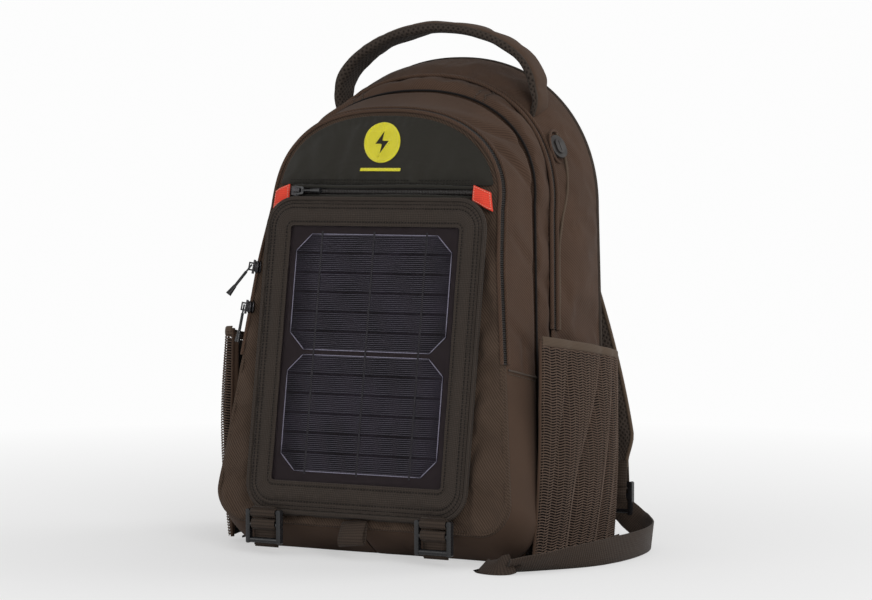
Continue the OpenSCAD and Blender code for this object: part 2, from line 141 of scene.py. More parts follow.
def smooth(t):
    t = np.clip(t, 0, 1)
    return t * t * (3 - 2 * t)


def recede(x, v):
    """How far the face's top corners fall back."""
    return 7 * smooth((v - 70) / 90) * (np.abs(x) / 108) ** 3


def wander(points, wavelength, seed, waves=7):
    """Smooth seeded noise of about -1 to 1 at each point."""
    rng = np.random.default_rng(seed)
    total = 0
    for _ in range(waves):
        way = rng.normal(size=3)
        way /= np.linalg.norm(way)
        size = wavelength * rng.uniform(0.7, 1.5)
        total = total + np.sin(points @ way * (2 * math.pi / size) + rng.uniform(0, 2 * math.pi))
    return total / math.sqrt(waves)


# ---------- meshes ----------

def make(name, points, faces, uv=None, flat=False):
    """A mesh object from millimetre points. uv is in millimetres too, one per point."""
    data = bpy.data.meshes.new(name)
    data.from_pydata((np.asarray(points, float) * MM).tolist(), [], [list(f) for f in faces])
    if uv is not None:
        layer = data.uv_layers.new(name="cloth")
        corner = np.zeros(len(data.loops), int)
        data.loops.foreach_get("vertex_index", corner)
        layer.data.foreach_set("uv", (np.asarray(uv, float)[corner] * MM).ravel())
    data.shade_flat() if flat else data.shade_smooth()
    thing = bpy.data.objects.new(name, data)
    bpy.context.scene.collection.objects.link(thing)
    return thing


def grid_faces(rows, cols, flip=False):
    r, c = np.meshgrid(np.arange(rows - 1), np.arange(cols - 1), indexing="ij")
    a = (r * cols + c).ravel()
    faces = np.stack([a, a + 1, a + cols + 1, a + cols], axis=1)
    return faces[:, ::-1] if flip else faces


def lengths(grid):
    """Distance along each row of a grid, and down its columns, as weave coordinates."""
    across = np.linalg.norm(np.diff(grid, axis=1), axis=2)
    down = np.linalg.norm(np.diff(grid, axis=0), axis=2)
    u = np.concatenate([[0], np.cumsum(across.mean(axis=0))])
    v = np.concatenate([[0], np.cumsum(down.mean(axis=1))])
    return np.stack(np.broadcast_arrays(u[None, :], v[:, None]), axis=2)


def sheet(name, grid, uv=None, flip=False):
    """A sheet of cloth through a grid of points (rows, columns, 3)."""
    rows, cols = grid.shape[:2]
    uv = lengths(grid) if uv is None else uv
    return make(name, grid.reshape(-1, 3), grid_faces(rows, cols, flip), uv.reshape(-1, 2))


def normals(grid):
    """Unit normals of a grid whose columns run anticlockwise and whose rows go back: they point outwards."""
    n = np.cross(np.gradient(grid, axis=0), np.gradient(grid, axis=1))
    return n / np.maximum(np.linalg.norm(n, axis=2), 1e-9)[..., None]


def apply_all(thing):
    """Bakes the modifiers into the mesh."""
    seen = thing.evaluated_get(bpy.context.evaluated_depsgraph_get())
    baked = bpy.data.meshes.new_from_object(seen)
    old = thing.data
    thing.modifiers.clear()
    thing.data = baked
    bpy.data.meshes.remove(old)
    return thing


def thicken(thing, thickness, offset=-1.0, levels=0):
    """Closes a sheet's seams and turns it into a solid cloth of this thickness."""
    join = thing.modifiers.new("weld", "WELD")
    join.merge_threshold = 0.02 * MM
    solid = thing.modifiers.new("thickness", "SOLIDIFY")
    solid.thickness = thickness * MM
    solid.offset = offset
    if levels:
        subdivide = thing.modifiers.new("smooth", "SUBSURF")
        subdivide.levels = subdivide.render_levels = levels
    return apply_all(thing)


def settle(thing, pinned, grow=0.03, pressure=0.0, cap=6.0, frames=16, weight=0.0, slack=None, bend=0.6):
    """Lets cloth move by simulation, held at the pinned points, each point moving at most cap."""
    rest = np.array([v.co for v in thing.data.vertices])
    pins = thing.vertex_groups.new(name="pins")
    pins.add([int(i) for i in pinned], 1.0, "REPLACE")
    cloth = thing.modifiers.new("cloth", "CLOTH")
    s = cloth.settings
    s.quality = 6
    s.mass = 0.12
    s.tension_stiffness = s.compression_stiffness = 12
    s.shear_stiffness = 4
    s.bending_stiffness = bend
    s.vertex_group_mass = "pins"
    s.shrink_min = -grow
    if slack is not None:
        loose = thing.vertex_groups.new(name="loose")
        for i, share in enumerate(slack):
            loose.add([i], float(share), "REPLACE")
        s.vertex_group_shrink = "loose"
        s.shrink_min = 0.0
        s.shrink_max = -grow
    s.use_pressure = pressure != 0
    s.uniform_pressure_force = pressure
    s.effector_weights.gravity = weight
    cloth.collision_settings.use_collision = False
    cloth.collision_settings.use_self_collision = False
    cloth.point_cache.frame_start = 1
    cloth.point_cache.frame_end = frames
    scene = bpy.context.scene
    for f in range(1, frames + 1):
        scene.frame_set(f)
    seen = thing.evaluated_get(bpy.context.evaluated_depsgraph_get())
    moved = np.array([v.co for v in seen.data.vertices]) - rest
    far = np.linalg.norm(moved, axis=1)
    limit = cap * MM
    moved *= (limit * np.tanh(far / limit) / np.maximum(far, 1e-12))[:, None]
    thing.modifiers.remove(cloth)
    thing.data.vertices.foreach_set("co", (rest + moved).astype(np.float32).ravel())
    thing.data.update()
    scene.frame_set(1)
    return thing


def frames_along(path, hint):
    """Unit tangent, side and normal along a path. The normal leans towards hint."""
    path = np.asarray(path, float)
    tangent = np.gradient(path, axis=0)
    tangent /= np.maximum(np.linalg.norm(tangent, axis=1), 1e-9)[:, None]
    hint = np.broadcast_to(np.asarray(hint, float), path.shape)
    normal = hint - (hint * tangent).sum(axis=1)[:, None] * tangent
    normal /= np.maximum(np.linalg.norm(normal, axis=1), 1e-9)[:, None]
    side = np.cross(tangent, normal)
    return tangent, side, normal


def sweep_grid(path, section, hint, closed=False):
    """Grid of a section (side, normal pairs, or one set per path point) carried along a path."""
    path = np.asarray(path, float)
    _, side, normal = frames_along(path, hint)
    if closed:
        side[0] = side[-1] = (side[0] + side[-1]) / 2
        normal[0] = normal[-1] = (normal[0] + normal[-1]) / 2
    section = np.asarray(section, float)
    if section.ndim == 2:
        section = np.broadcast_to(section, (len(path),) + section.shape)
    return path[:, None] + section[..., :1] * side[:, None] + section[..., 1:] * normal[:, None]


def ring(radius, count=8, flatten=1.0):
    t = np.linspace(0, 2 * math.pi, count + 1)
    return np.stack([radius * np.cos(t), radius * flatten * np.sin(t)], axis=1)


def with_caps(points, faces, rows, cols):
    """Adds fans that close both ends of a swept grid whose columns run round the section."""
    points = [*points]
    faces = [list(f) for f in faces]
    for row, backward in ((0, True), (rows - 1, False)):
        start = row * cols
        points.append(np.mean(points[start:start + cols - 1], axis=0))
        hub = len(points) - 1
        for c in range(cols - 1):
            edge = [start + c, start + c + 1]
            faces.append([hub] + (edge if backward else edge[::-1]))
    return np.array(points), faces


def rod(name, path, section, hint=(0, 0, 1), closed=False):
    """A solid of a closed section carried along a path."""
    grid = sweep_grid(path, section, hint, closed)
    rows, cols = grid.shape[:2]
    uv = lengths(grid).reshape(-1, 2)
    points, faces = grid.reshape(-1, 3), grid_faces(rows, cols)
    if not closed:
        points, faces = with_caps(points, faces, rows, cols)
        uv = np.concatenate([uv, uv[[0, -1]]])
    thing = make(name, points, faces, uv)
    weld(thing)
    return thing


def weld(thing, distance=0.02):
    """Joins points that lie on one another, so that a swept skin closes."""
    join = thing.modifiers.new("weld", "WELD")
    join.merge_threshold = distance * MM
    return apply_all(thing)


def pills(name, centres, along, up, length, radius, flat=0.7):
    """Many small rounded bars in one mesh, such as stitches, zip teeth or threads."""
    centres = np.asarray(centres, float)
    along, up = (np.broadcast_to(np.asarray(w, float), centres.shape) for w in (along, up))
    along = along / np.linalg.norm(along, axis=1)[:, None]
    side = np.cross(along, up)
    side /= np.maximum(np.linalg.norm(side, axis=1), 1e-9)[:, None]
    up = np.cross(side, along)
    points, faces = [], []
    half = np.broadcast_to(np.asarray(length, float), len(centres)) / 2
    corners = [(1, 1), (-1, 1), (-1, -1), (1, -1)]
    for place in (-1.0, -0.72, 0.72, 1.0):
        size = 0.35 if abs(place) == 1 else 1.0
        for a, b in corners:
            points.append(centres + along * (half * place)[:, None]
                          + side * (a * radius * size) + up * (b * radius * flat * size))
    points = np.stack(points, axis=1)
    one = [[3, 2, 1, 0], [12, 13, 14, 15]]
    for lap in range(3):
        for k in range(4):
            n = (k + 1) % 4
            one.append([lap * 4 + k, lap * 4 + n, lap * 4 + 4 + n, lap * 4 + 4 + k])
    one = np.array(one)
    faces = (one[None] + 16 * np.arange(len(centres))[:, None, None]).reshape(-1, 4)
    return make(name, points.reshape(-1, 3), faces)


def spaced(path, pitch, *others):
    """Places at even steps along a path, with other per-point vectors carried to the same places."""
    path = np.asarray(path, float)
    steps = np.linalg.norm(np.diff(path, axis=0), axis=1)
    along = np.concatenate([[0], np.cumsum(steps)])
    at = np.arange(pitch / 2, along[-1], pitch)
    def carry(values):
        values = np.broadcast_to(np.asarray(values, float), path.shape)
        return np.stack([np.interp(at, along, values[:, k]) for k in range(3)], axis=1)
    return [carry(path)] + [carry(o) for o in others]


def stitches(name, path, up, pitch=3.6, length=2.5, radius=0.33, lift=0.15):
    """A row of thread stitches lying on a surface, along a path on it."""
    tangent = np.gradient(np.asarray(path, float), axis=0)
    centres, way, rise = spaced(path, pitch, tangent, up)
    rise /= np.maximum(np.linalg.norm(rise, axis=1), 1e-9)[:, None]
    return pills(name, centres + rise * lift, way, rise, length, radius)


def merge(name, things):
    """One piece out of several meshes, each keeping its own material."""
    bpy.ops.object.select_all(action="DESELECT")
    for t in things:
        t.select_set(True)
    bpy.context.view_layer.objects.active = things[0]
    bpy.ops.object.join()
    things[0].name = name
    return things[0]


def finish_piece(thing, material, body, slot=None, *replaced):
    """Gives a piece its material, attaches it to its body when the body is a name (otherwise only bakes its placement),
    and hides the CAD nodes it stands for. slot is not used.
    """
    if material is not None:
        thing.data.materials.clear()
        thing.data.materials.append(material)
    if isinstance(body, str):
        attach(thing, body)
    else:
        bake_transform(thing)
    if replaced:
        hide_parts(*replaced)
    return thing


# ---------- materials ----------

def srgb(r, g, b):
    """Linear colour of an 0-255 screen colour."""
    def line(c):
        c /= 255
        return c / 12.92 if c <= 0.04045 else ((c + 0.055) / 1.055) ** 2.4
    return (line(r), line(g), line(b), 1)


class Nodes:
    """A short way to write a material's node graph."""

    def __init__(self, name):
        self.material = bpy.data.materials.new(name)
        self.material.use_nodes = True
        self.tree = self.material.node_tree
        self.shader = self.tree.nodes["Principled BSDF"]

    def add(self, kind, inputs=(), **settings):
        node = self.tree.nodes.new("ShaderNode" + kind)
        for key, value in settings.items():
            setattr(node, key, value)
        for key, value in dict(inputs).items():
            self.plug(node.inputs[key], value)
        return node

    def plug(self, socket, value):
        if isinstance(value, bpy.types.NodeSocket):
            self.tree.links.new(value, socket)
        else:
            socket.default_value = value

    def math(self, operation, a, b=0.0, c=0.0):
        return self.add("Math", {0: a, 1: b, 2: c}, operation=operation).outputs[0]

    def mix(self, share, a, b):
        node = self.add("Mix", {0: share}, data_type="RGBA")
        self.plug(node.inputs[6], a)
        self.plug(node.inputs[7], b)
        return node.outputs[2]

    def noise(self, vector, scale, detail=3.0):
        node = self.add("TexNoise", {"Vector": vector, "Scale": scale, "Detail": detail})
        return node.outputs["Fac"]

    def remap(self, value, low, high, to_low=0.0, to_high=1.0):
        node = self.add("MapRange", {0: value, 1: low, 2: high, 3: to_low, 4: to_high})
        return node.outputs[0]

    def place(self, source):
        """Weave coordinates in millimetres as (u, v): the cloth's own, or across and up the object."""
        if source == "cloth":
            raw = self.add("UVMap").outputs[0]
            parts = self.add("SeparateXYZ", {0: raw})
            u, v = parts.outputs[0], parts.outputs[1]
        else:
            raw = self.add("TexCoord").outputs["Object"]
            parts = self.add("SeparateXYZ", {0: raw})
            u = parts.outputs[0]
            v = self.math("ADD", parts.outputs[2], self.math("MULTIPLY", parts.outputs[1], 0.6))
            if source == "side":
                u = parts.outputs[1]
                v = parts.outputs[2]
        return self.math("MULTIPLY", u, 1000.0), self.math("MULTIPLY", v, 1000.0)

    def wave(self, value, pitch):
        """0 to 1 wave with this pitch."""
        turned = self.math("SINE", self.math("MULTIPLY", value, 2 * math.pi / pitch))
        return self.math("MULTIPLY_ADD", turned, 0.5, 0.5)

    def object_mm(self):
        raw = self.add("TexCoord").outputs["Object"]
        return self.add("VectorMath", {0: raw, 3: 1000.0}, operation="SCALE").outputs[0]

    def finish(self, colour, roughness, height=None, depth_mm=0.3, strength=0.6, **shader):
        self.plug(self.shader.inputs["Base Color"], colour)
        self.plug(self.shader.inputs["Roughness"], roughness)
        for key, value in shader.items():
            self.plug(self.shader.inputs[key.replace("_", " ")], value)
        if height is not None:
            bump = self.add("Bump", {"Height": height, "Distance": depth_mm * MM, "Strength": strength})
            self.plug(self.shader.inputs["Normal"], bump.outputs[0])
        return self.material


def twill(n, u, v, pitch):
    """Diagonal ridges broken by the crossing threads."""
    ridge = n.wave(n.math("ADD", u, n.math("MULTIPLY", v, 0.8)), pitch)
    thread = n.wave(n.math("SUBTRACT", u, v), pitch * 0.62)
    return n.math("MULTIPLY_ADD", thread, 0.35, n.math("MULTIPLY", ridge, 0.65))


def plain_weave(n, u, v, pitch):
    """Over-and-under square weave."""
    return n.math("MULTIPLY_ADD", n.wave(u, pitch), 0.5, n.math("MULTIPLY", n.wave(v, pitch), 0.5))


def spacer(n, u, v, pitch):
    """Knitted spacer mesh: staggered diamond holes."""
    a = n.wave(n.math("ADD", u, v), pitch)
    b = n.wave(n.math("SUBTRACT", u, v), pitch)
    return n.math("SUBTRACT", 1.0, n.math("MULTIPLY", a, b))


def ribs(n, u, v, pitch):
    """Ribs across a webbing, with its long edges as threads."""
    return n.math("MULTIPLY_ADD", n.wave(v, pitch), 0.7, n.math("MULTIPLY", n.wave(u, pitch * 0.8), 0.3))


def cloth(name, colour, weave=twill, pitch=2.2, contrast=0.35, source="cloth", depth=0.35, patch=0.18,
          roughness=0.86, sheen=0.05, fleck=0.08):
    """Woven cloth: its weave in colour and height, soft patches of wear, and stray pale fibres."""
    n = Nodes(name)
    u, v = n.place(source)
    height = weave(n, u, v, pitch)
    spot = n.object_mm()
    broad = n.noise(spot, 0.022, 4.0)
    fine = n.noise(spot, 0.9, 2.0)
    base = srgb(*colour)
    dark = tuple(c * (1 - contrast) for c in base[:3]) + (1,)
    light = tuple(min(c * (1 + contrast), 1) for c in base[:3]) + (1,)
    tone = n.mix(height, dark, light)
    worn = n.mix(n.remap(broad, 0.4, 0.7, 0.0, patch), tone, tuple(min(c * 1.9, 1) for c in base[:3]) + (1,))
    dusty = n.mix(n.remap(fine, 0.62, 0.8, 0.0, fleck), worn, tuple(min(c * 2.6, 1) for c in base[:3]) + (1,))
    rough = n.remap(broad, 0.3, 0.7, roughness - 0.07, roughness + 0.05)
    bumpy = n.math("MULTIPLY_ADD", fine, 0.25, height)
    return n.finish(dusty, rough, bumpy, depth, 0.55, Sheen_Weight=sheen, Sheen_Roughness=0.5,
                    Specular_IOR_Level=0.12)


def moulded(name, colour, roughness=0.35, grain=2.0, depth=0.05, wear=0.25, **shader):
    """Moulded plastic or rubber: fine grain, dull scuffs and paler edges."""
    n = Nodes(name)
    spot = n.object_mm()
    fine = n.noise(spot, grain, 3.0)
    broad = n.noise(spot, 0.08, 4.0)
    edge = n.add("NewGeometry").outputs["Pointiness"]
    base = srgb(*colour)
    scuffed = n.mix(n.remap(edge, 0.52, 0.62, 0.0, wear), base,
                    tuple(min(c * 4 + 0.02, 1) for c in base[:3]) + (1,))
    dusty = n.mix(n.remap(broad, 0.5, 0.8, 0.0, 0.3), scuffed,
                  tuple(min(c * 1.8, 1) for c in base[:3]) + (1,))
    rough = n.remap(broad, 0.3, 0.7, roughness - 0.08, roughness + 0.12)
    return n.finish(dusty, rough, fine, depth, 0.4, **shader)


BROWN = (79, 61, 50)
FRONT = (46, 44, 39)
CLOTH = {
    "side": cloth("side_twill", BROWN, pitch=2.5, contrast=0.34, depth=0.5),
    "front": cloth("front_twill", (76, 62, 52), pitch=2.6, contrast=0.5, depth=0.6),
    "satin": cloth("front_satin", FRONT, plain_weave, 0.9, 0.1, depth=0.12, patch=0.1, sheen=0.15,
                   roughness=0.7),
    "smooth": cloth("smooth_panel", (78, 61, 50), plain_weave, 1.1, 0.14, depth=0.15, patch=0.14),
    "heather": cloth("pad_heather", (60, 53, 48), plain_weave, 1.7, 0.4, depth=0.4, fleck=0.5, patch=0.1),
    "lining": cloth("lining", (40, 37, 35), plain_weave, 1.2, 0.15, depth=0.12, sheen=0.1),
    "spacer": cloth("spacer_mesh", (54, 47, 42), spacer, 5.0, 0.65, depth=1.2),
    "binding": cloth("binding", (92, 78, 66), ribs, 1.2, 0.2, depth=0.2, patch=0.1),
    "cord": cloth("corded_edge", (66, 58, 52), plain_weave, 1.1, 0.25, source="object", depth=0.2),
    "webbing": cloth("webbing", (60, 50, 43), ribs, 2.4, 0.35, depth=0.5, roughness=0.6),
    "thread": cloth("thread", (86, 76, 68), plain_weave, 0.6, 0.2, source="object", depth=0.1),
    "dark_thread": cloth("dark_thread", (30, 27, 26), plain_weave, 0.6, 0.2, source="object", depth=0.1),
    "tape": cloth("zip_tape", (34, 31, 30), plain_weave, 0.8, 0.2, depth=0.12),
    "coil": moulded("zip_coil", (44, 40, 38), 0.4, depth=0.03),
    "mesh_thread": cloth("knitted_thread", (100, 83, 72), plain_weave, 0.7, 0.25, source="object", depth=0.1),
    # Near-black colour of the sheet behind the pocket nets: painted shade standing in for the shadow inside each
    # pocket.
    "pocket_shade_lining": cloth("painted_pocket_shade", (30, 25, 23), plain_weave, 1.4, 0.3, depth=0.2),
}


# ---------- bag shells ----------

def arch_rows(profile):
    """World grid of rings. Each row of the profile is (share from face to crease to mouth arch, grow, depth)."""
    rows = []
    for blend_a, blend_b, share, grow, depth in profile:
        outline = arch(blend_a) * (1 - share) + arch(blend_b) * share
        out = outward(outline)
        edge = outline + out * np.asarray(grow, float).reshape(-1, 1)
        back = recede(edge[:, 0], edge[:, 1]) * np.clip(1 - (depth - GUSSET_DEPTH) / 50, 0, 1)
        rows.append(on_face(edge[:, 0], edge[:, 1], depth + back))
    return np.array(rows)


def face_v(points):
    """Height of world points up the leaning face."""
    return (points - FACE) @ UP


def held(rows, cols, edges_only=True):
    """Point numbers of a grid's first and last rows and of its seam under the bag."""
    index = np.arange(rows * cols).reshape(rows, cols)
    return np.concatenate([index[0], index[-1], index[:, 0], index[:, -1]])


def groove(across, down, start, end, width):
    """1 along a line between two places, falling off to 0 at about this width."""
    start, end = np.array(start, float), np.array(end, float)
    way = end - start
    place = np.stack(np.broadcast_arrays(across, down), axis=-1) - start
    share = np.clip(place @ way / (way @ way), 0, 1)
    gap = np.linalg.norm(place - share[..., None] * way, axis=-1)
    return np.exp(-(gap / width) ** 2)


# Folds of the front gusset: side, (height up the face, distance back from the zip) at each end, depth
FOLDS = (
    (1, (209, 6), (192, 44), 3.4), (1, (186, 12), (150, 46), 3.8), (1, (108, 14), (84, 42), 1.8),
    (1, (34, 4), (12, 34), 1.6), (-1, (204, 8), (170, 44), 3.0), (-1, (120, 8), (88, 42), 2.2),
    (-1, (40, 6), (18, 36), 1.6),
)


def build_gusset():
    """Side wall of the front compartment: folded twill above the zip's end, smooth cloth below it."""
    count = 19
    profile = []
    heights = arch(FACE_ARCH)[:, 1]
    reach = CREASE_DEPTH + 1 - GUSSET_DEPTH
    for t in np.linspace(0, 1, count):
        swell = math.sin(math.pi * t)
        tuck = -8.0 * smooth((t - 0.84) / 0.16) ** 1.5
        belly = 2.2 * swell * smooth((60 - heights) / 120)
        dip = -2.4 * swell * smooth((heights - 90) / 90)
        grow = 3.2 + 3.4 * t + tuck + belly + dip
        profile.append((FACE_ARCH, CREASE_ARCH, t, grow, GUSSET_DEPTH + reach * t))
    grid = arch_rows(profile)
    n = normals(grid)
    back = np.linspace(0, 1, count)[:, None]
    free = np.sin(back * math.pi) ** 0.7
    up_face = face_v(grid)
    loose = smooth((up_face - FRONT_ZIP_END) / 50)
    along = lengths(grid)[..., 0]
    ruck = np.sin(along / 17 + 2.2 * wander(grid, 150, 3)) * (0.5 + 0.5 * wander(grid, 90, 4))
    bend = free * (0.3 + 0.7 * loose) * 1.1 * ruck
    for side, start, end, depth in FOLDS:
        here = (grid[..., 0] * side > 0) * free
        bend = bend - here * depth * groove(up_face, back * reach, start, end, 4.0)
        bend = bend + here * 0.45 * depth * groove(up_face - 9, back * reach, start, end, 6.5)
    slit = groove(up_face, back * reach, (FRONT_ZIP_END - 2, 25), (FRONT_ZIP_END + 24, 25), 1.7)
    bend = bend - 2.6 * slit * (grid[..., 0] > 0)
    grid = grid + n * bend[..., None]
    piece = sheet("front_gusset_cloth", grid, flip=True)
    settle(piece, held(*grid.shape[:2]), grow=0.03, cap=3.2, slack=(0.12 + 0.88 * loose).ravel(), frames=16)
    thicken(piece, 1.3, levels=1)
    rest_on_floor(piece)
    finish_piece(piece, CLOTH["side"], "front_section", "side_cloth", "front_gusset")
    piece.data.materials.append(CLOTH["smooth"])
    for face in piece.data.polygons:
        if face_v(np.array(face.center) / MM) < FRONT_ZIP_END - 3:
            face.material_index = 1
    n = normals(grid)
    seams = []
    for side in (1, -1):
        run = (grid[..., 0] * side > 0) & (np.abs(up_face - FRONT_ZIP_END + 3) < 4.5)
        ring_row = [int(np.argmin(np.where(run[k], np.abs(up_face[k] - FRONT_ZIP_END + 3),
                                           1e6))) for k in range(count)]
        line = np.array([grid[k, c] + n[k, c] * 0.5 for k, c in enumerate(ring_row)])
        rise = np.array([n[k, c] for k, c in enumerate(ring_row)])
        seams.append(rod("seam", line[1:-1], ring(0.9, 6), hint=rise[1:-1]))
        seams.append(stitches("thread", line[1:-1] - UP * 3.2, rise[1:-1], pitch=3.2))
    finish_piece(merge("gusset_cross_seams", seams), CLOTH["thread"], "front_section", "side_cloth")
    return grid


def build_roll():
    """Padded rim between the crease and the main zip, with double seams across it near the top."""
    count = 19
    profile = []
    heights = arch(CREASE_ARCH)[:, 1]
    for t in np.linspace(0, 1, count):
        full = 1.6 + 3.4 * smooth((heights - 150) / 60)
        grow = 4.4 * (1 - t) - 0.4 * t - 6.6 * (1 - t) ** 9 + full * math.sin(math.pi * t ** 0.75) ** 0.75
        depth = CREASE_DEPTH + 1.5 + (MOUTH_DEPTH - CREASE_DEPTH - 6.7) * (0.5 - 0.5 * math.cos(math.pi * t))
        profile.append((CREASE_ARCH, MOUTH_ARCH, t, grow, depth))
    grid = arch_rows(profile)
    free = np.sin(np.linspace(0, math.pi, count))[:, None]
    n = normals(grid)
    high = face_v(grid) > 190
    dent = sum(np.exp(-((np.abs(grid[..., 0]) - x) / 2.2) ** 2) for x in (58, 66)) * high
    soft = 0.8 * wander(grid, 60, 11) + 0.45 * wander(grid, 22, 12)
    grid = grid + n * (free * (soft - 1.9 * dent))[..., None]
    piece = sheet("padded_rim", grid, flip=True)
    settle(piece, held(*grid.shape[:2]), grow=0.012, pressure=0.6, cap=1.6)
    thicken(piece, 1.3, levels=1)
    rest_on_floor(piece)
    finish_piece(piece, CLOTH["side"], "front_section", "side_cloth", "main_front_shell")
    n = normals(grid)
    rows = []
    for x in (-66, -58, 58, 66):
        picks = [int(np.argmin(np.abs(grid[k, :, 0] - x) + 1e3 * (face_v(grid[k]) < 150))) for k in range(1, count - 1)]
        line = np.array([grid[k + 1, c] for k, c in enumerate(picks)])
        rise = np.array([n[k + 1, c] for k, c in enumerate(picks)])
        rows.append(stitches("thread", line + rise * 0.3, rise, pitch=3.0))
    finish_piece(merge("rim_stitching", rows), CLOTH["thread"], "front_section", "side_cloth")
    # A near-black cord laid along the crease: painted shade for the shadow in the fold.
    line, out = arch_run(CREASE_ARCH, -160, 4.2, CREASE_DEPTH + 1.0, 0.0)
    crease = rod("crease_shade_cord", line, ring(1.0, 6), hint=out)
    finish_piece(crease, CLOTH["dark_thread"], "front_section", "side_cloth")
    return grid


def rear_grid(count=30):
    """Rings from just behind the main zip to the back panel."""
    edge = np.full(len(arch(MOUTH_ARCH)), 1.0)
    front = arch_rows([(MOUTH_ARCH, MOUTH_ARCH, 0, edge, MOUTH_DEPTH + 5.4)])[0]
    back = arch(BACK_ARCH)
    back = np.stack([back[:, 0], np.full(len(back), BACK_Y - 0.3), back[:, 1]], axis=1)
    t = np.linspace(0, 1, count)[:, None, None]
    grid = front[None] * (1 - t) + back[None] * t
    n = normals(grid)
    on_side = smooth((grid[..., 2] - 12) / 60)
    grid = grid + n * (np.sin(math.pi * t[..., 0]) ** 1.2 * 4.5 * on_side)[..., None]
    return grid


def build_rear():
    """Shell of the main compartment, with the piped seams that run from the port to the zip."""
    grid = rear_grid()
    count = grid.shape[0]
    free = np.sin(np.linspace(0, math.pi, count))[:, None]
    n = normals(grid)
    soft = 1.2 * wander(grid, 140, 21) + 0.5 * wander(grid, 55, 22)
    grid = grid + n * (free * soft * smooth((grid[..., 2] - 12) / 60))[..., None]
    piece = sheet("rear_shell_cloth", grid, flip=True)
    settle(piece, held(*grid.shape[:2]), grow=0.012, pressure=0.2, cap=2.5)
    thicken(piece, 1.6, levels=1)
    rest_on_floor(piece)
    finish_piece(piece, CLOTH["side"], "bag", "side_cloth", "rear_shell")
    parts = []
    for side in (1, -1):
        cols = [c for c in range(grid.shape[1]) if grid[0, c, 0] * side > 60 and 196 < grid[8, c, 2] < 372]
        line, rise = [], []
        for c in cols:
            share = 0.05 + 0.26 * smooth((grid[8, c, 2] - 262) / 95)
            k = share * (count - 1)
            low = int(k)
            line.append(grid[low, c] * (1 - k + low) + grid[low + 1, c] * (k - low) + n[low, c] * 1.2)
            rise.append(n[low, c])
        line, rise = np.array(line), np.array(rise)
        parts.append(rod("piping", line, ring(1.15, 6), hint=rise))
        behind = np.array([0, 3.0, 0])
        parts.append(stitches("thread", line + behind, rise, pitch=3.2, lift=-0.2))
    finish_piece(merge("rear_seam_piping", parts), CLOTH["binding"], "bag", "side_cloth")
    return grid


def disc(outline, centre, rows, depth):
    """Grid of rings from an outline in to a small ring round its centre, on the face."""
    t = np.linspace(0, 1, rows)[:, None, None]
    flat = outline[None] * (1 - t) + centre * t
    return flat, on_face(flat[..., 0], flat[..., 1], depth + recede(flat[..., 0], flat[..., 1]))


def build_flap():
    outline = arch(FACE_ARCH, 2.4)
    hole_centre = np.array([0, -74.0])
    ray = outline - hole_centre
    reach = np.maximum(np.abs(ray[:, 0]) / 39, np.abs(ray[:, 1]) / 32)
    hole = hole_centre + ray / reach[:, None]
    rows = 44
    t = np.linspace(0, 1, rows)[:, None, None]
    flat = outline[None] * (1 - t) + hole[None] * t
    grid = on_face(flat[..., 0], flat[..., 1], FLAP_DEPTH + 0.6 + recede(flat[..., 0], flat[..., 1]))
    beside = smooth((np.abs(flat[..., 0]) - 104) / 8) * smooth((130 - flat[..., 1]) / 30)
    under = smooth((-138 - flat[..., 1]) / 6)
    free = np.clip(beside + under, 0, 1) * smooth(t[..., 0] * rows / 4)
    pucker = 1.2 * np.sin(flat[..., 1] / 9 + 1.5 * wander(grid, 120, 31)) + 0.9 * wander(grid, 40, 32)
    grid = grid - INTO * (free * (1.2 + pucker))[..., None]
    piece = sheet("flap_cloth", grid, uv=flat)
    index = np.arange(grid.shape[0] * grid.shape[1]).reshape(grid.shape[:2])
    settle(piece, np.concatenate([index[0], index[:, 0], index[:, -1], index[free < 0.05]]), grow=0.035,
           cap=4)
    thicken(piece, 1.2, levels=1)
    finish_piece(piece, CLOTH["front"], "front_flap", "front_cloth", "front_flap_panel")


def build_shells():
    build_flap()
    build_gusset()
    build_roll()
    build_rear()


# ---------- solar pad ----------

PAD_V = -2.5
PAD_SIZE = (216, 277, 26)
WINDOW = (168, 225, 3)
BOX_V = -78
CORNER_POINTS = 10


def rounded_rect(w, h, r, v, per_side=44):
    """Rounded rectangle, anticlockwise from the middle of its foot, the same number of points for any size."""
    r = max(r, 0.4)
    half_w, half_h = w / 2 - r, h / 2 - r
    points = []
    corners = [(half_w, -half_h, -90), (half_w, half_h, 0), (-half_w, half_h, 90), (-half_w, -half_h, 180)]
    start = (0, -half_h - r)
    for x, y, turn in corners:
        t = np.radians(np.linspace(turn, turn + 90, CORNER_POINTS))
        bend = np.stack([x + r * np.cos(t), y + r * np.sin(t)], axis=1)
        points.append(np.linspace(start, bend[0], per_side)[:-1])
        points.append(bend[:-1])
        start = bend[-1]
    points.append(np.linspace(start, (0, -half_h - r), per_side))
    return np.concatenate(points) + [0, v]


def pad_ring(shrink, depth):
    """A line round the pad, shrink in from its outer edge towards the window."""
    outer = rounded_rect(*PAD_SIZE, PAD_V)
    window = rounded_rect(*WINDOW, -1)
    width = (PAD_SIZE[0] - WINDOW[0]) / 2
    share = shrink / width
    flat = outer * (1 - share) + window * share
    return on_face(flat[:, 0], flat[:, 1], depth)


PAD_SEAMS = (5.0, 8.6, 20.6)


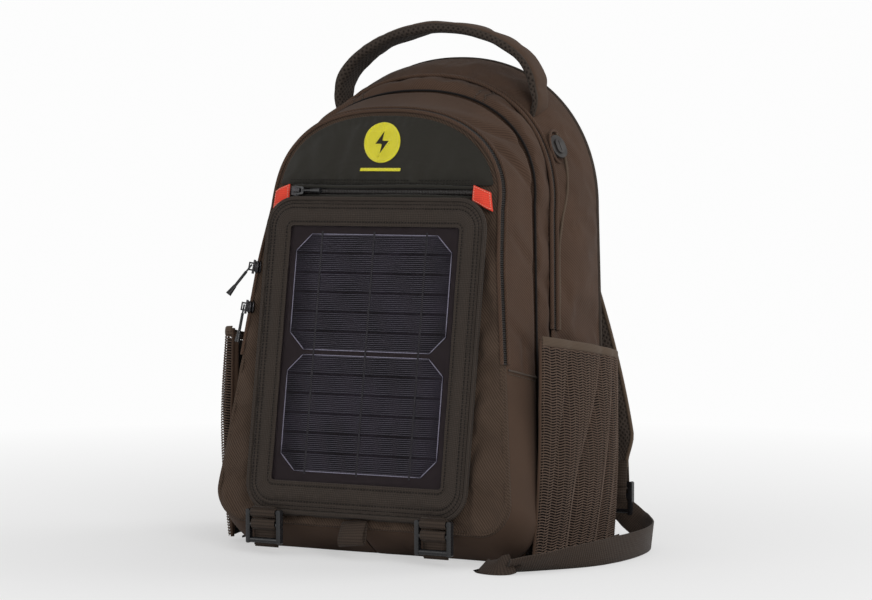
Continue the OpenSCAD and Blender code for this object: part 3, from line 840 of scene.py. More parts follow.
def build_pad():
    shrinks = np.array([1.6, 2.6, 3.8, 5.0, 6.2, 7.4, 8.6, 9.9, 11.4, 13.0, 14.8, 16.6, 18.2, 19.5, 20.6,
                        21.8, 23.2, 24.0, 24.2])
    depths = np.array([1.6, 0.3, -0.4, 0.1, -0.9, -0.9, 0.0, -0.9, -1.6, -1.9, -1.9, -1.7, -1.2, -0.6, -0.1,
                       -0.6, -0.7, -0.1, 0.9])
    grid = np.array([pad_ring(s, d) for s, d in zip(shrinks, depths)])
    grid = grid - INTO * (0.25 * wander(grid, 26, 41) + 0.2 * wander(grid, 11, 42))[..., None]
    piece = sheet("pad_cover", grid)
    index = np.arange(grid.shape[0] * grid.shape[1]).reshape(grid.shape[:2])
    fixed = [index[i] for i, s in enumerate(shrinks) if s in PAD_SEAMS or i in (0, len(shrinks) - 2,
                                                                                len(shrinks) - 1)]
    settle(piece, np.concatenate(fixed + [index[:, 0], index[:, -1]]), grow=0.03, pressure=0.8, cap=1.1,
           frames=12)
    thicken(piece, 0.9, levels=1)
    finish_piece(piece, CLOTH["heather"], "solar_pad", "pad_cloth", "pad_frame_cover")
    cord = pad_ring(0.3, 1.1)
    cord_piece = rod("pad_piping_cord", cord, ring(2.0, 8), hint=-INTO, closed=True)
    finish_piece(cord_piece, CLOTH["heather"], "solar_pad", "pad_cloth", "pad_piping")
    rows = [stitches(f"row_{k}", pad_ring(s, d), -INTO, pitch=3.0, length=2.0, radius=0.3)
            for k, (s, d) in enumerate(zip(PAD_SEAMS, (-0.5, -0.6, -0.7)))]
    finish_piece(merge("pad_stitching", rows), CLOTH["dark_thread"], "solar_pad", "pad_cloth")
    build_pad_back()


def build_pad_back():
    """Back cover and side wall of the pad, with the hole that the junction box looks through."""
    side = [pad_ring(s, d) for s, d in ((1.2, 2.6), (0.6, 4.2), (0.8, 5.6), (2.0, 6.9))]
    outline = rounded_rect(PAD_SIZE[0] - 4, PAD_SIZE[1] - 4, PAD_SIZE[2] - 2, PAD_V)
    centre = np.array([0, BOX_V])
    ray = outline - centre
    reach = np.maximum(np.abs(ray[:, 0]) / 36, np.abs(ray[:, 1]) / 26)
    hole = centre + ray / reach[:, None]
    rows = []
    for t in np.linspace(0.03, 1, 26):
        flat = outline * (1 - t) + hole * t
        rows.append(on_face(flat[:, 0], flat[:, 1], 7.1))
    grid = np.array(side + rows)
    piece = sheet("pad_back_cloth", grid)
    thicken(piece, 0.7, levels=1)
    finish_piece(piece, CLOTH["lining"], "solar_pad", "lining_cloth", "pad_back_cover")


STRIP_W, STRIP_H, STRIPS, BLOCK_GAP, WAFER_CUT = 156, 17.2, 6, 3.4, 14.6
FINGERS = 9


def build_cells():
    """Printed silver on the cells: fingers across each strip and a border round each block."""
    centres, sizes = [], []
    block_h = STRIPS * STRIP_H
    for foot in (BLOCK_GAP / 2, -BLOCK_GAP / 2 - block_h):
        for k in range(STRIPS * FINGERS):
            strip_place = (k % FINGERS + 0.5) / FINGERS
            v = (k // FINGERS) * STRIP_H + 0.9 + strip_place * (STRIP_H - 1.8)
            to_end = min(v, block_h - v)
            cut = max(WAFER_CUT - to_end, 0)
            centres.append((0, foot + v))
            sizes.append(STRIP_W - 2 * cut - 2)
    centres = np.array(centres)
    places = on_face(centres[:, 0], centres[:, 1], 1.86)
    fingers = pills("cell_fingers", places, ACROSS, -INTO, np.array(sizes), 0.3, flat=0.08)
    finish_piece(fingers, SILVER, "solar_pad", "cells")
    w = STRIP_W / 2 - 0.8
    lines = []
    for foot in (BLOCK_GAP / 2 + 0.6, -BLOCK_GAP / 2 - block_h + 0.6):
        h = block_h - 1.2
        c = WAFER_CUT
        loop = [(-w, c), (-w + c, 0), (w - c, 0), (w, c), (w, h - c), (w - c, h), (-w + c, h), (-w, h - c),
                (-w, c)]
        lines += [((x0, y0 + foot), (x1, y1 + foot)) for (x0, y0), (x1, y1) in zip(loop, loop[1:])]
    lines = np.array(lines)
    mid, way = lines.mean(axis=1), lines[:, 1] - lines[:, 0]
    along = way[:, :1] * ACROSS + way[:, 1:] * UP
    border = pills("cell_border", on_face(mid[:, 0], mid[:, 1], 1.84), along, -INTO,
                   np.linalg.norm(way, axis=1) + 0.5, 0.42, flat=0.06)
    finish_piece(border, PALE_SILVER, "solar_pad", "cells")


def glass_like():
    """Clear textured laminate: mostly see-through, with a faint soft reflection."""
    n = Nodes("clear_laminate")
    n.tree.nodes.remove(n.shader)
    cloud = n.noise(n.object_mm(), 0.02, 2.0)
    gloss = n.add("BsdfGlossy", {"Color": (0.9, 0.88, 1, 1),
                                 "Roughness": n.remap(cloud, 0.3, 0.7, 0.12, 0.3)})
    clear = n.add("BsdfTransparent")
    facing = n.add("LayerWeight", {"Blend": 0.2}).outputs["Facing"]
    share = n.remap(facing, 0.3, 1.0, 0.0, 0.5)
    both = n.add("MixShader", {0: share, 1: clear.outputs[0], 2: gloss.outputs[0]})
    n.tree.links.new(both.outputs[0], n.tree.nodes["Material Output"].inputs[0])
    return n.material


def crystal():
    """Dark textured silicon, a little violet and uneven from strip to strip."""
    n = Nodes("silicon_cells")
    spot = n.object_mm()
    cloud = n.noise(spot, 0.03, 4.0)
    colour = n.mix(n.remap(cloud, 0.35, 0.65), srgb(24, 22, 27), srgb(36, 32, 41))
    return n.finish(colour, 0.6, n.noise(spot, 3.0, 2.0), 0.01, 0.15, Specular_IOR_Level=0.08)


def metal(name, colour, roughness=0.35, brushed=1.5):
    n = Nodes(name)
    spot = n.object_mm()
    fine = n.noise(spot, brushed, 3.0)
    colour = n.mix(n.remap(fine, 0.3, 0.8), srgb(*colour), srgb(*(c * 0.6 for c in colour)))
    return n.finish(colour, n.remap(fine, 0.3, 0.7, roughness - 0.1, roughness + 0.12), fine, 0.03, 0.3,
                    Metallic=0.9)


def pile(name, colour, pitch):
    """Hook or loop pile."""
    n = Nodes(name)
    spot = n.object_mm()
    cells = n.add("TexVoronoi", {"Vector": spot, "Scale": 1 / pitch}).outputs["Distance"]
    base = srgb(*colour)
    tone = n.mix(n.remap(cells, 0.1, 0.7), tuple(min(c * 2, 1) for c in base[:3]) + (1,), base)
    return n.finish(tone, 0.9, cells, 0.6, 0.8, Sheen_Weight=0.3)


def board():
    """Green circuit board with copper tracks under the lacquer."""
    n = Nodes("circuit_board")
    spot = n.object_mm()
    track = n.add("TexBrick", {"Vector": spot, "Scale": 0.35, "Mortar Size": 0.04}).outputs["Fac"]
    colour = n.mix(track, srgb(18, 70, 40), srgb(40, 110, 60))
    return n.finish(colour, 0.4, track, 0.1, 0.4)


SILVER = metal("finger_silver", (74, 70, 80), 0.6)
PALE_SILVER = metal("border_silver", (150, 146, 166), 0.6)
SILVER.node_tree.nodes["Principled BSDF"].inputs["Metallic"].default_value = 0.1
PALE_SILVER.node_tree.nodes["Principled BSDF"].inputs["Metallic"].default_value = 0.1

CAD_FINISH = {
    "clear": (glass_like(), ("panel_front_sheet",)),
    "cells": (crystal(), ("cell_strips",)),
    "ribbons": (metal("tinned_ribbon", (60, 58, 62), 0.45), ("busbar_ribbons",)),
    "backsheet": (moulded("black_backsheet", (30, 24, 26), 0.6, depth=0.01, Specular_IOR_Level=0.08),
                  ("panel_backsheet",)),
    "lock": (moulded("gloss_moulding", (22, 22, 24), 0.24, wear=0.35, Specular_IOR_Level=0.6),
             ("bottom_ladder_lock_left", "bottom_ladder_lock_right", "strap_ladder_lock_left",
              "strap_ladder_lock_right", "front_pull_upper", "front_pull_lower", "main_pull_upper",
              "main_pull_lower", "pocket_zip_pull")),
    "case": (moulded("case_plastic", (34, 35, 38), 0.5, 1.2),
             ("junction_box", "junction_box_lid", "power_bank_case", "power_bank_lid")),
    "rubber": (moulded("port_rubber", (40, 36, 34), 0.65, 1.0), ("cable_port",)),
    "metal": (metal("dark_zip_metal", (74, 72, 74), 0.3),
              ("front_slider_upper", "front_slider_lower", "main_slider_upper", "main_slider_lower",
               "pocket_zip_slider")),
    "button": (metal("button_metal", (150, 150, 155), 0.3), ("power_bank_button",)),
    "board": (board(), ("regulator_board", "power_bank_board")),
    "wrap": (moulded("cell_wrap", (150, 152, 158), 0.35, 0.5), ("battery_cells",)),
    "hook": (pile("hook_pile", (20, 20, 21), 1.4), ("pad_hook_tapes",)),
    "loop": (pile("loop_pile", (30, 29, 28), 1.0), ("flap_loop_tapes",)),
    "foam": (pile("cut_foam", (52, 52, 54), 0.8), ("pad_foam",)),
    "sheet": (moulded("frame_sheet_plastic", (24, 24, 26), 0.5, 0.8), ("frame_sheet",)),
}
BEVELLED = {"lock": 0.5, "case": 0.8, "metal": 0.25, "wrap": 1.0, "rubber": 0.4}


def dress_cad():
    """Gives each CAD node that stays its finish, with rounded edges on moulded and metal ones."""
    for kind, (material, names) in CAD_FINISH.items():
        for name in names:
            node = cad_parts[name]
            node.data.materials.clear()
            node.data.materials.append(material)
            if kind in BEVELLED:
                bevel = node.modifiers.new("round", "BEVEL")
                bevel.width = BEVELLED[kind] * MM
                bevel.segments = 2
                bevel.limit_method = "ANGLE"


# ---------- zips ----------

def arch_run(a, low, grow, depth, fall=1.0):
    """World line along an arch above a height, and its outward direction."""
    outline = arch(a)
    out = outward(outline)
    line = outline + out * grow
    keep = outline[:, 1] > low
    line, out = line[keep], out[keep]
    return on_face(line[:, 0], line[:, 1], depth + fall * recede(line[:, 0], line[:, 1])), \
        out[:, :1] * ACROSS + out[:, 1:] * UP


def zip_side(name, edge, middle_line, up, body, slot_name, phase, replaced=(), cord=1.75):
    """One side of a zip: folded edge, tape and its half of the coil."""
    fold = rod(name + "_fold", edge, ring(cord, 8, 0.9), hint=up)
    fold.data.materials.append(CLOTH["side"])
    tape_grid = np.array([edge - up * 0.6, edge * 0.4 + middle_line * 0.6 - up * 0.9])
    tape = sheet(name + "_tape", tape_grid)
    thicken(tape, 0.5, offset=0)
    tape.data.materials.append(CLOTH["tape"])
    way = middle_line - edge
    centres, across, rise = spaced(middle_line * 0.86 + edge * 0.14, 1.9, way, up)
    teeth = pills(name + "_coil", centres[phase::1], across, rise, 3.0, 0.6, flat=0.9)
    teeth.data.materials.append(CLOTH["coil"])
    piece = merge(name, [fold, tape, teeth])
    return finish_piece(piece, None, body, slot_name, *replaced)


def build_zips():
    # Front compartment: round the edge of the face
    flap_edge, out = arch_run(FACE_ARCH, FRONT_ZIP_END, 2.2, 8.7)
    gusset_edge, _ = arch_run(FACE_ARCH, FRONT_ZIP_END, 5.6, 14.4)
    up = out - INTO
    up /= np.linalg.norm(up, axis=1)[:, None]
    centre = (flap_edge + gusset_edge) / 2 - up * 0.5
    zip_side("front_zip_flap_side", flap_edge, centre, up, "front_flap", "zip_tape", 0,
             ("front_zip_outer_tape",))
    zip_side("front_zip_bag_side", gusset_edge, centre, up, "front_section", "zip_tape", 0,
             ("front_zip_inner_tape",))
    # Main compartment: behind the padded rim
    rim_edge, out = arch_run(MOUTH_ARCH, MAIN_ZIP_END, 2.2, MOUTH_DEPTH - 4.4, 0.0)
    rear_edge, _ = arch_run(MOUTH_ARCH, MAIN_ZIP_END, 3.4, MOUTH_DEPTH + 4.2, 0.0)
    centre = (rim_edge + rear_edge) / 2 - out * 1.1
    zip_side("main_zip_rim_side", rim_edge, centre, out, "front_section", "zip_tape", 0,
             ("main_zip_outer_tape",), cord=2.1)
    zip_side("main_zip_bag_side", rear_edge, centre, out, "bag", "zip_tape", 0,
             ("main_zip_inner_tape",), cord=2.1)


POCKET_ZIP_V = 143


def build_pocket_zip():
    """Welted zip across the flap, above the pad."""
    x = np.linspace(-92, 92, 60)
    parts = []
    for v, rise, size in ((POCKET_ZIP_V + 4.6, 1.6, 1.7), (POCKET_ZIP_V - 4.0, 1.4, 1.6)):
        line = on_face(x, v + 0.4 * np.sin(x / 23), FLAP_DEPTH - rise + recede(x, v))
        fold = rod("welt", line, ring(size, 8), hint=-INTO)
        fold.data.materials.append(CLOTH["satin"])
        parts.append(fold)
    rows = np.array([on_face(x, v, FLAP_DEPTH - 0.3 + recede(x, v)) for v in np.linspace(137.5, 149.5, 5)])
    tape = sheet("tape", rows)
    thicken(tape, 0.8, offset=0)
    tape.data.materials.append(CLOTH["tape"])
    line = on_face(x, POCKET_ZIP_V, FLAP_DEPTH - 1.4)
    centres, = spaced(line, 1.5)
    teeth = pills("coil", centres, UP, -INTO, 4.2, 0.5, flat=0.9)
    teeth.data.materials.append(CLOTH["coil"])
    finish_piece(merge("pocket_zip_welt", parts + [tape, teeth]), None, "front_flap", "zip_tape",
                 "pocket_zip")
    rows = [stitches(f"row_{v}", on_face(x, v, FLAP_DEPTH - 2.9), -INTO, pitch=3.0, length=2.0, radius=0.3)
            for v in (150.6, 153.0)]
    finish_piece(merge("pocket_stitching", rows), CLOTH["dark_thread"], "front_flap", "front_cloth")


# ---------- logo pocket ----------

POCKET_LOW = 149.5
EMBLEM_V = 186
EMBLEM_R = 18


def pocket_outline():
    outline = arch(FACE_ARCH, -2.6)
    above = outline[outline[:, 1] > POCKET_LOW]
    foot = np.linspace(above[-1], above[0], 46)[1:-1]
    foot[:, 1] = POCKET_LOW
    return np.concatenate([above, foot, above[:1]])


def pocket_depth(flat, outline):
    """Depth of the puffed pocket front: shallow at its edges, standing forward in the middle."""
    gaps = np.min(np.linalg.norm(flat[..., None, :] - outline[::3], axis=-1), axis=-1)
    return FLAP_DEPTH - 0.9 - 4.4 * smooth(gaps / 15) ** 0.8 + recede(flat[..., 0], flat[..., 1])


def build_logo_pocket():
    outline = pocket_outline()
    centre = np.array([0, 178.0])
    t = np.linspace(0, 0.985, 22)[:, None, None]
    flat = outline[None] * (1 - t) + centre * t
    depth = pocket_depth(flat, outline)
    near_emblem = np.linalg.norm(flat - [0, EMBLEM_V], axis=-1) < EMBLEM_R + 3
    near_emblem |= (np.abs(flat[..., 1] - 162) < 4) & (np.abs(flat[..., 0]) < 24)
    soft = 0.5 * wander(np.dstack([flat, 0 * depth]), 55, 51) + 0.35 * wander(np.dstack([flat, 0 * depth]),
                                                                              24, 52)
    depth = depth - np.where(near_emblem, 0, soft) * smooth(t[..., 0] * 8)
    grid = on_face(flat[..., 0], flat[..., 1], depth)
    hub = on_face(centre[0], centre[1], depth[-1].mean())
    points = np.concatenate([grid.reshape(-1, 3), [hub]])
    uv = np.concatenate([flat.reshape(-1, 2), [centre]])
    rows, cols = grid.shape[:2]
    last = (rows - 1) * cols
    faces = [list(f) for f in grid_faces(rows, cols)] + [[last + c, last + c + 1,
                                                          len(points) - 1] for c in range(cols - 1)]
    piece = make("logo_pocket_cloth", points, faces, uv)
    index = np.arange(rows * cols).reshape(rows, cols)
    fixed = np.concatenate([index[0], index[:, 0], index[:, -1], index[near_emblem], [len(points) - 1]])
    settle(piece, fixed, grow=0.015, pressure=0.3, cap=1.2, frames=12)
    thicken(piece, 1.0, levels=1)
    finish_piece(piece, CLOTH["satin"], "front_flap", "front_cloth", "logo_pocket")
    build_emblem(outline)


BOLT = np.array([(3, 13), (-8, -2), (-1, -2), (-3, -13), (8, 2), (1, 2)], float)


def inside(points, polygon):
    """Which points are inside a polygon."""
    x, y = points[:, 0], points[:, 1]
    hit = np.zeros(len(points), bool)
    for (x0, y0), (x1, y1) in zip(polygon, np.roll(polygon, -1, axis=0)):
        cross = (y0 > y) != (y1 > y)
        at = x0 + (y - y0) * (x1 - x0) / np.where(y1 == y0, 1e-9, y1 - y0)
        hit ^= cross & (x < at)
    return hit


def build_emblem(outline):
    """Embroidered badge: short satin threads that fill a disc round a bolt, and a plain bar."""
    pitch, step = 0.7, 1.7
    places = []
    for row, y in enumerate(np.arange(-EMBLEM_R, EMBLEM_R, pitch)):
        shift = (row % 3) * step / 3
        places += [(x + shift, y) for x in np.arange(-EMBLEM_R, EMBLEM_R, step)]
    places = np.array(places)
    turn = math.radians(35)
    places = places @ np.array([[math.cos(turn), math.sin(turn)], [-math.sin(turn), math.cos(turn)]])
    keep = (np.linalg.norm(places, axis=1) < EMBLEM_R - 1.6) & ~inside(places, BOLT * 1.14)
    places = places[keep] + [0, EMBLEM_V]
    along = math.cos(turn) * ACROSS + math.sin(turn) * UP
    fill = pills("fill", on_face(places[:, 0], places[:, 1], pocket_depth(places, outline) - 0.35), along,
                 -INTO, 2.0, 0.42)
    t = np.radians(np.arange(0, 360, 2.2))
    round_about = np.stack([np.cos(t), np.sin(t)], axis=1)
    edge = round_about * (EMBLEM_R - 1.2) + [0, EMBLEM_V]
    way = round_about[:, :1] * ACROSS + round_about[:, 1:] * UP
    border = pills("border", on_face(edge[:, 0], edge[:, 1], pocket_depth(edge, outline) - 0.5), way, -INTO,
                   2.6, 0.42)
    bar = np.array([(x, 162) for x in np.arange(-19.6, 19.7, 0.7)])
    bar = pills("bar", on_face(bar[:, 0], bar[:, 1], pocket_depth(bar, outline) - 0.45), UP + 0.25 * ACROSS,
                -INTO, 3.0, 0.4)
    piece = merge("embroidered_emblem", [fill, border, bar])
    corners = np.vstack([BOLT, BOLT[:1]])
    trim, ways = [], []
    for a, b in zip(corners, corners[1:]):
        steps = max(int(np.linalg.norm(b - a) / 0.62), 2)
        normal = np.array([b[1] - a[1], a[0] - b[0]]) / np.linalg.norm(b - a)
        for s in np.linspace(0, 1, steps, endpoint=False):
            trim.append(a + (b - a) * s + [0, EMBLEM_V])
            ways.append(normal[0] * ACROSS + normal[1] * UP)
    trim = np.array(trim)
    edge = pills("bolt_edge", on_face(trim[:, 0], trim[:, 1], pocket_depth(trim, outline) - 0.6),
                 np.array(ways),
                 -INTO, 1.5, 0.36)
    finish_piece(merge("embroidered_emblem", [piece, edge]), YELLOW, "front_flap", "emblem", "emblem_patch")


YELLOW = cloth("emblem_thread", (236, 226, 50), plain_weave, 0.7, 0.12, source="object", depth=0.1,
               patch=0.02, fleck=0.02,
               sheen=0.4, roughness=0.5)
CORAL = cloth("coral_webbing", (235, 78, 60), ribs, 2.0, 0.12, source="object", depth=0.25, patch=0.05,
              fleck=0.05)
CORAL_EDGE = cloth("coral_stitch", (250, 150, 130), plain_weave, 0.7, 0.1, source="object", depth=0.1,
                   patch=0.02)


def build_tabs():
    """Folded webbing tabs at the ends of the pocket zip."""
    corners = np.array([(91, 135.5), (110.4, 126.5), (107.8, 143.5), (91.5, 149.5)])
    parts = []
    for side in (1, -1):
        s, t = np.meshgrid(np.linspace(0, 1, 12), np.linspace(0, 1, 12), indexing="ij")
        s, t = s[..., None], t[..., None]
        flat = (corners[0] * (1 - s) + corners[1] * s) * (1 - t) + (corners[3] * (1 - s) + corners[2] * s) * t
        wrap = 5.0 * smooth((flat[..., 0] - 100) / 12)
        depth = 4.9 + wrap - 0.5 * np.sin(math.pi * t[..., 0]) * np.sin(math.pi * s[..., 0])
        grid = on_face(flat[..., 0] * side, flat[..., 1], depth)
        tab = sheet("tab", grid, uv=flat, flip=side > 0)
        thicken(tab, 1.8, offset=-1, levels=1)
        tab.data.materials.append(CORAL)
        rim = np.concatenate([grid[1:-1, 1], grid[-2, 1:-1], grid[-2:0:-1, -2], grid[1, -2:0:-1]])
        thread = stitches("thread", rim, -INTO, pitch=2.2, length=1.6, radius=0.35, lift=0.2)
        thread.data.materials.append(CORAL_EDGE)
        parts += [tab, thread]
    finish_piece(merge("pull_tabs", parts), None, "front_flap", "tab_cloth", "side_tabs")


# ---------- side pockets ----------

POCKET_SPAN = (-44.0, 92.0)
POCKET_FOOT, POCKET_TOP = 5.0, 189.0
PLEATS = 4


def pocket_surface(along, height, side, lift=0.0, pleat=9.0):
    """Points of the knitted pocket wall. along runs front to back and height from foot to mouth, both 0 to 1."""
    along, height = np.broadcast_arrays(along, height)
    y = POCKET_SPAN[0] + (POCKET_SPAN[1] - POCKET_SPAN[0]) * along - 9 * (1 - height) ** 2 * (1 - along)
    mouth = POCKET_TOP - 8 - math.tan(math.radians(8.5)) * (y - POCKET_SPAN[0]) + 12
    z = POCKET_FOOT + (mouth - POCKET_FOOT) * height
    bow = 0.25 + 0.75 * np.clip(np.sin(math.pi * along), 0, 1) ** (0.6 if side > 0 else 0.4)
    tuck = 1 - 0.45 * (1 - height) ** 4
    belly = 1 + 0.22 * np.sin(math.pi * height)
    full = 17 if side > 0 else 31
    x = 149 + 8 * along + full * bow * tuck * belly + lift
    fold = np.abs(np.sin(math.pi * (along * PLEATS + 0.4 * np.sin(3.1 * height + 1.0) + 0.3 * np.sin(7 * along))))
    depth = pleat * (1 - fold ** 0.6) * np.sin(math.pi * np.clip(along, 0.03, 0.97)) * (0.35 + 0.65 * np.sin(math.pi * (0.15 + 0.8 * height)))
    sag = 1.6 * np.sin(5 * along * math.pi + 4 * height)
    return np.stack([side * (x - depth), y, z + sag * height * (1 - height)], axis=-1)


def thread_net(name, surface, rows, cols, row_steps, col_steps, radius):
    """Knitted mesh as real threads: rows and columns of square-section yarn on a surface(a, h)."""
    points, faces = [], []
    def yarn(line, thick):
        tangent = np.gradient(line, axis=0)
        tangent /= np.linalg.norm(tangent, axis=1)[:, None]
        side = np.cross(tangent, [0, 0, 1.0]) if abs(tangent[len(line) // 2][2]) < 0.7 else np.cross(tangent, [0, 1.0, 0])
        side /= np.linalg.norm(side, axis=1)[:, None]
        top = np.cross(side, tangent)
        start = sum(len(p) for p in points)
        points.append(np.concatenate([line + side * thick, line + top * thick, line - side * thick,
                                      line - top * thick]))
        n = len(line)
        for k in range(4):
            m = (k + 1) % 4
            i = np.arange(n - 1)
            faces.append(start + np.stack([k * n + i, m * n + i, m * n + i + 1, k * n + i + 1], axis=1))
        faces.append(start + np.array([[0, 3 * n, 2 * n, n], [n - 1, 2 * n - 1, 3 * n - 1, 4 * n - 1]]))
    for h in np.linspace(0.01, 0.985, rows):
        a = np.linspace(0.0, 1.0, row_steps)
        zig = 0.0035 * np.sin(a * cols * math.pi)
        yarn(surface(a, h + zig), radius)
    for c, a in enumerate(np.linspace(0.01, 0.99, cols)):
        h = np.linspace(0.0, 0.99, col_steps)
        yarn(surface(a + 0.002 * np.sin(h * rows * math.pi / 2), h), radius * 0.5)
    return make(name, np.concatenate(points), np.concatenate(faces))


def build_pockets():
    """Two side pockets of knitted net over a dark sheet of painted shade for their insides, bound at the mouth and sewn
    to the bag.
    """
    for side, label in ((1, "right"), (-1, "left")):
        net = thread_net(f"knitted_pocket_{label}", lambda a, h: pocket_surface(a, h, side), 78, 24, 96, 60,
                         0.62)
        replaced = ("mesh_pockets",) if side > 0 else ()
        finish_piece(net, CLOTH["mesh_thread"], "bag", "pocket_mesh", *replaced)
        a = np.linspace(-0.01, 1.01, 80)
        rows = np.array([pocket_surface(np.clip(a, 0, 1), h, side, lift) for h, lift in
                         ((0.965, 0.3), (0.975, 1.2), (0.99, 1.4), (1.005, 1.2), (1.012, 0.3))])
        smoothed = rows.copy()
        for _ in range(5):
            smoothed[:, 1:-1] = (smoothed[:, :-2] + smoothed[:, 1:-1] + smoothed[:, 2:]) / 3
        band = sheet(f"pocket_binding_{label}", smoothed, flip=side < 0)
        thicken(band, 1.6, offset=-1, levels=1)
        finish_piece(band, CLOTH["binding"], "bag", "binding", *(("pocket_bands",) if side > 0 else ()))
        # The dark sheet set behind the net is painted shade for the shadow inside the pocket, not a real lining.
        a, h = np.meshgrid(np.linspace(0.01, 0.99, 70), np.linspace(0.0, 0.96, 24))
        depth = -1.8 - (4.5 if side > 0 else 2.0) * np.sin(math.pi * a) ** 0.6
        lining = sheet(f"pocket_shade_sheet_{label}", pocket_surface(a, h, side, depth, 4.0), flip=side < 0)
        thicken(lining, 0.5, offset=0)
        finish_piece(lining, CLOTH["pocket_shade_lining"], "bag", "pocket_mesh")
        h = np.linspace(0, 1, 40)
        for place, part in ((0.0, "front"), (1.0, "back")):
            line = pocket_surface(place, h, side) - [side * 1.0, 0, 0]
            seam = rod(f"pocket_{part}_seam_{label}", line, ring(1.5, 6), hint=(side, 0, 0))
            finish_piece(seam, CLOTH["smooth"], "bag", "binding")
            edge = pocket_surface(place, h * 0.98, side) - [side * 1.0, 0, 0]
            inner = edge * 1.0
            inner[:, 0] = side * (151.5 if part == "front" else 146)
            inner[:, 1] += 2.0 if part == "front" else 1.0
            share = np.linspace(0, 1, 5)[:, None, None]
            wall = sheet(f"pocket_{part}_wall_{label}", edge * (1 - share) + inner * share)
            thicken(wall, 0.8, offset=0)
            finish_piece(wall, CLOTH["smooth"], "bag", "side_cloth")
        foot = np.array([pocket_surface(a, 0.0, side, lift) for lift in (-14, -7, 0)])
        floor = sheet(f"pocket_floor_{label}", foot, flip=side > 0)
        thicken(floor, 1.2, offset=0)
        finish_piece(floor, CLOTH["smooth"], "bag", "side_cloth")


# ---------- handle ----------

HANDLE_Y, HANDLE_FOOT = 60, 408


def handle_line(width, top):
    """The handle's arch, which carries on a little below its feet."""
    t = np.radians(np.linspace(-26, 206, 90))
    n = np.where(np.cos(t) < 0, 1.8, 1.95)
    x = width * np.sign(np.cos(t)) * np.abs(np.cos(t)) ** (2 / n)
    z = HANDLE_FOOT + (top - HANDLE_FOOT) * np.sign(np.sin(t)) * np.abs(np.sin(t)) ** (2 / n)
    dip = np.clip(HANDLE_FOOT - z, 0, None)
    return np.stack([x + np.sign(x) * dip * 0.35, np.full_like(x, HANDLE_Y), z], axis=1)


def build_handle():
    """Padded grab handle: smooth cloth outside, spacer mesh inside, sewn along both edges."""
    path = even(handle_line(99, 463.6), 110)
    hint = path - [0, HANDLE_Y, HANDLE_FOOT - 60]
    share = np.abs(np.linspace(-1, 1, len(path)))
    half_w = 15 - 3.5 * smooth((share - 0.7) / 0.3)
    half_t = 5.0 - 1.4 * smooth((share - 0.75) / 0.25)
    def skin(low, high, count, fat):
        t = np.radians(np.linspace(low, high, count))
        x = np.sign(np.cos(t)) * np.abs(np.cos(t)) ** 0.6
        y = np.sign(np.sin(t)) * np.abs(np.sin(t)) ** 0.75
        return np.stack([half_w[:, None] * x * fat, half_t[:, None] * y * fat], axis=2)
    outer = sweep_grid(path, skin(-8, 148, 13, 1.0), hint)
    inner = sweep_grid(path, skin(150, 350, 17, 0.97), hint)
    hinge = ("bag", "handle", (0, HANDLE_Y, HANDLE_FOOT - 6), (0, HANDLE_Y, HANDLE_FOOT + 14))
    for name, grid, material, node, slot_name in (
            ("handle_cover", outer, CLOTH["smooth"], "grab_handle", "strap_cloth"),
            ("handle_mesh", inner, CLOTH["spacer"], "handle_lining", "spacer_mesh")):
        n = normals(grid)
        grid = grid + n * (0.35 * wander(grid, 20, 61))[..., None]
        piece = sheet(name, grid)
        settle(piece, held(*grid.shape[:2]), grow=0.02, pressure=0.4, cap=1.0, frames=10)
        thicken(piece, 0.9, offset=0, levels=1)
        finish_piece(piece, material, hinge, slot_name, node)
    for k, edge in enumerate((outer[:, 0], outer[:, -1])):
        cord = rod(f"handle_edge_{k}", edge, ring(1.0, 6), hint=(0, 0, 1))
        finish_piece(cord, CLOTH["cord"], hinge, "strap_cloth")


# ---------- back ----------

STRAP_Y = 116


def bezier(p, count):
    """Cubic curve from its four control points."""
    p = np.asarray(p, float)
    t = np.linspace(0, 1, count)[:, None]
    return (1 - t) ** 3 * p[0] + 3 * (1 - t) ** 2 * t * p[1] + 3 * (1 - t) * t ** 2 * p[2] + t ** 3 * p[3]


def build_back():
    """Back panel with its piping and three pads, and the two shoulder straps."""
    outline = arch(BACK_ARCH, -0.6)
    t = np.linspace(0, 1, 30)[:, None, None]
    flat = outline[None] * (1 - t) + np.array([0.0, 215.0]) * t
    grid = np.stack([flat[..., 0], BACK_Y + 1.4 + 0 * flat[..., 0], flat[..., 1]], axis=-1)
    grid[..., 1] += 0.4 * wander(grid, 70, 71) * np.sin(math.pi * t[..., 0])
    panel = sheet("back_cloth", grid, uv=flat, flip=True)
    thicken(panel, 1.8, offset=0)
    finish_piece(panel, CLOTH["smooth"], "bag", "lining_cloth", "back_panel")
    edge = np.stack([outline[:, 0], np.full(len(outline), BACK_Y + 1.0), np.maximum(outline[:, 1], 2.4)],
                    axis=1)
    piping = rod("back_piping", edge, ring(2.1, 8), hint=(0, 1, 0), closed=True)
    finish_piece(piping, CLOTH["cord"], "bag", "binding")
    for name, size, centre, thick in (
            ("back_pad_right", (78, 232, 26), (58, 246), 8.5),
            ("back_pad_left", (78, 232, 26), (-58, 246), 8.5),
            ("lumbar_pad", (216, 82, 30), (0, 70), 10.5)):
        replaced = ("back_pads",) if name == "lumbar_pad" else ()
        pillow(name, size, centre, thick, replaced)
    for side, label in ((1, "right"), (-1, "left")):
        shoulder_strap(side, label)


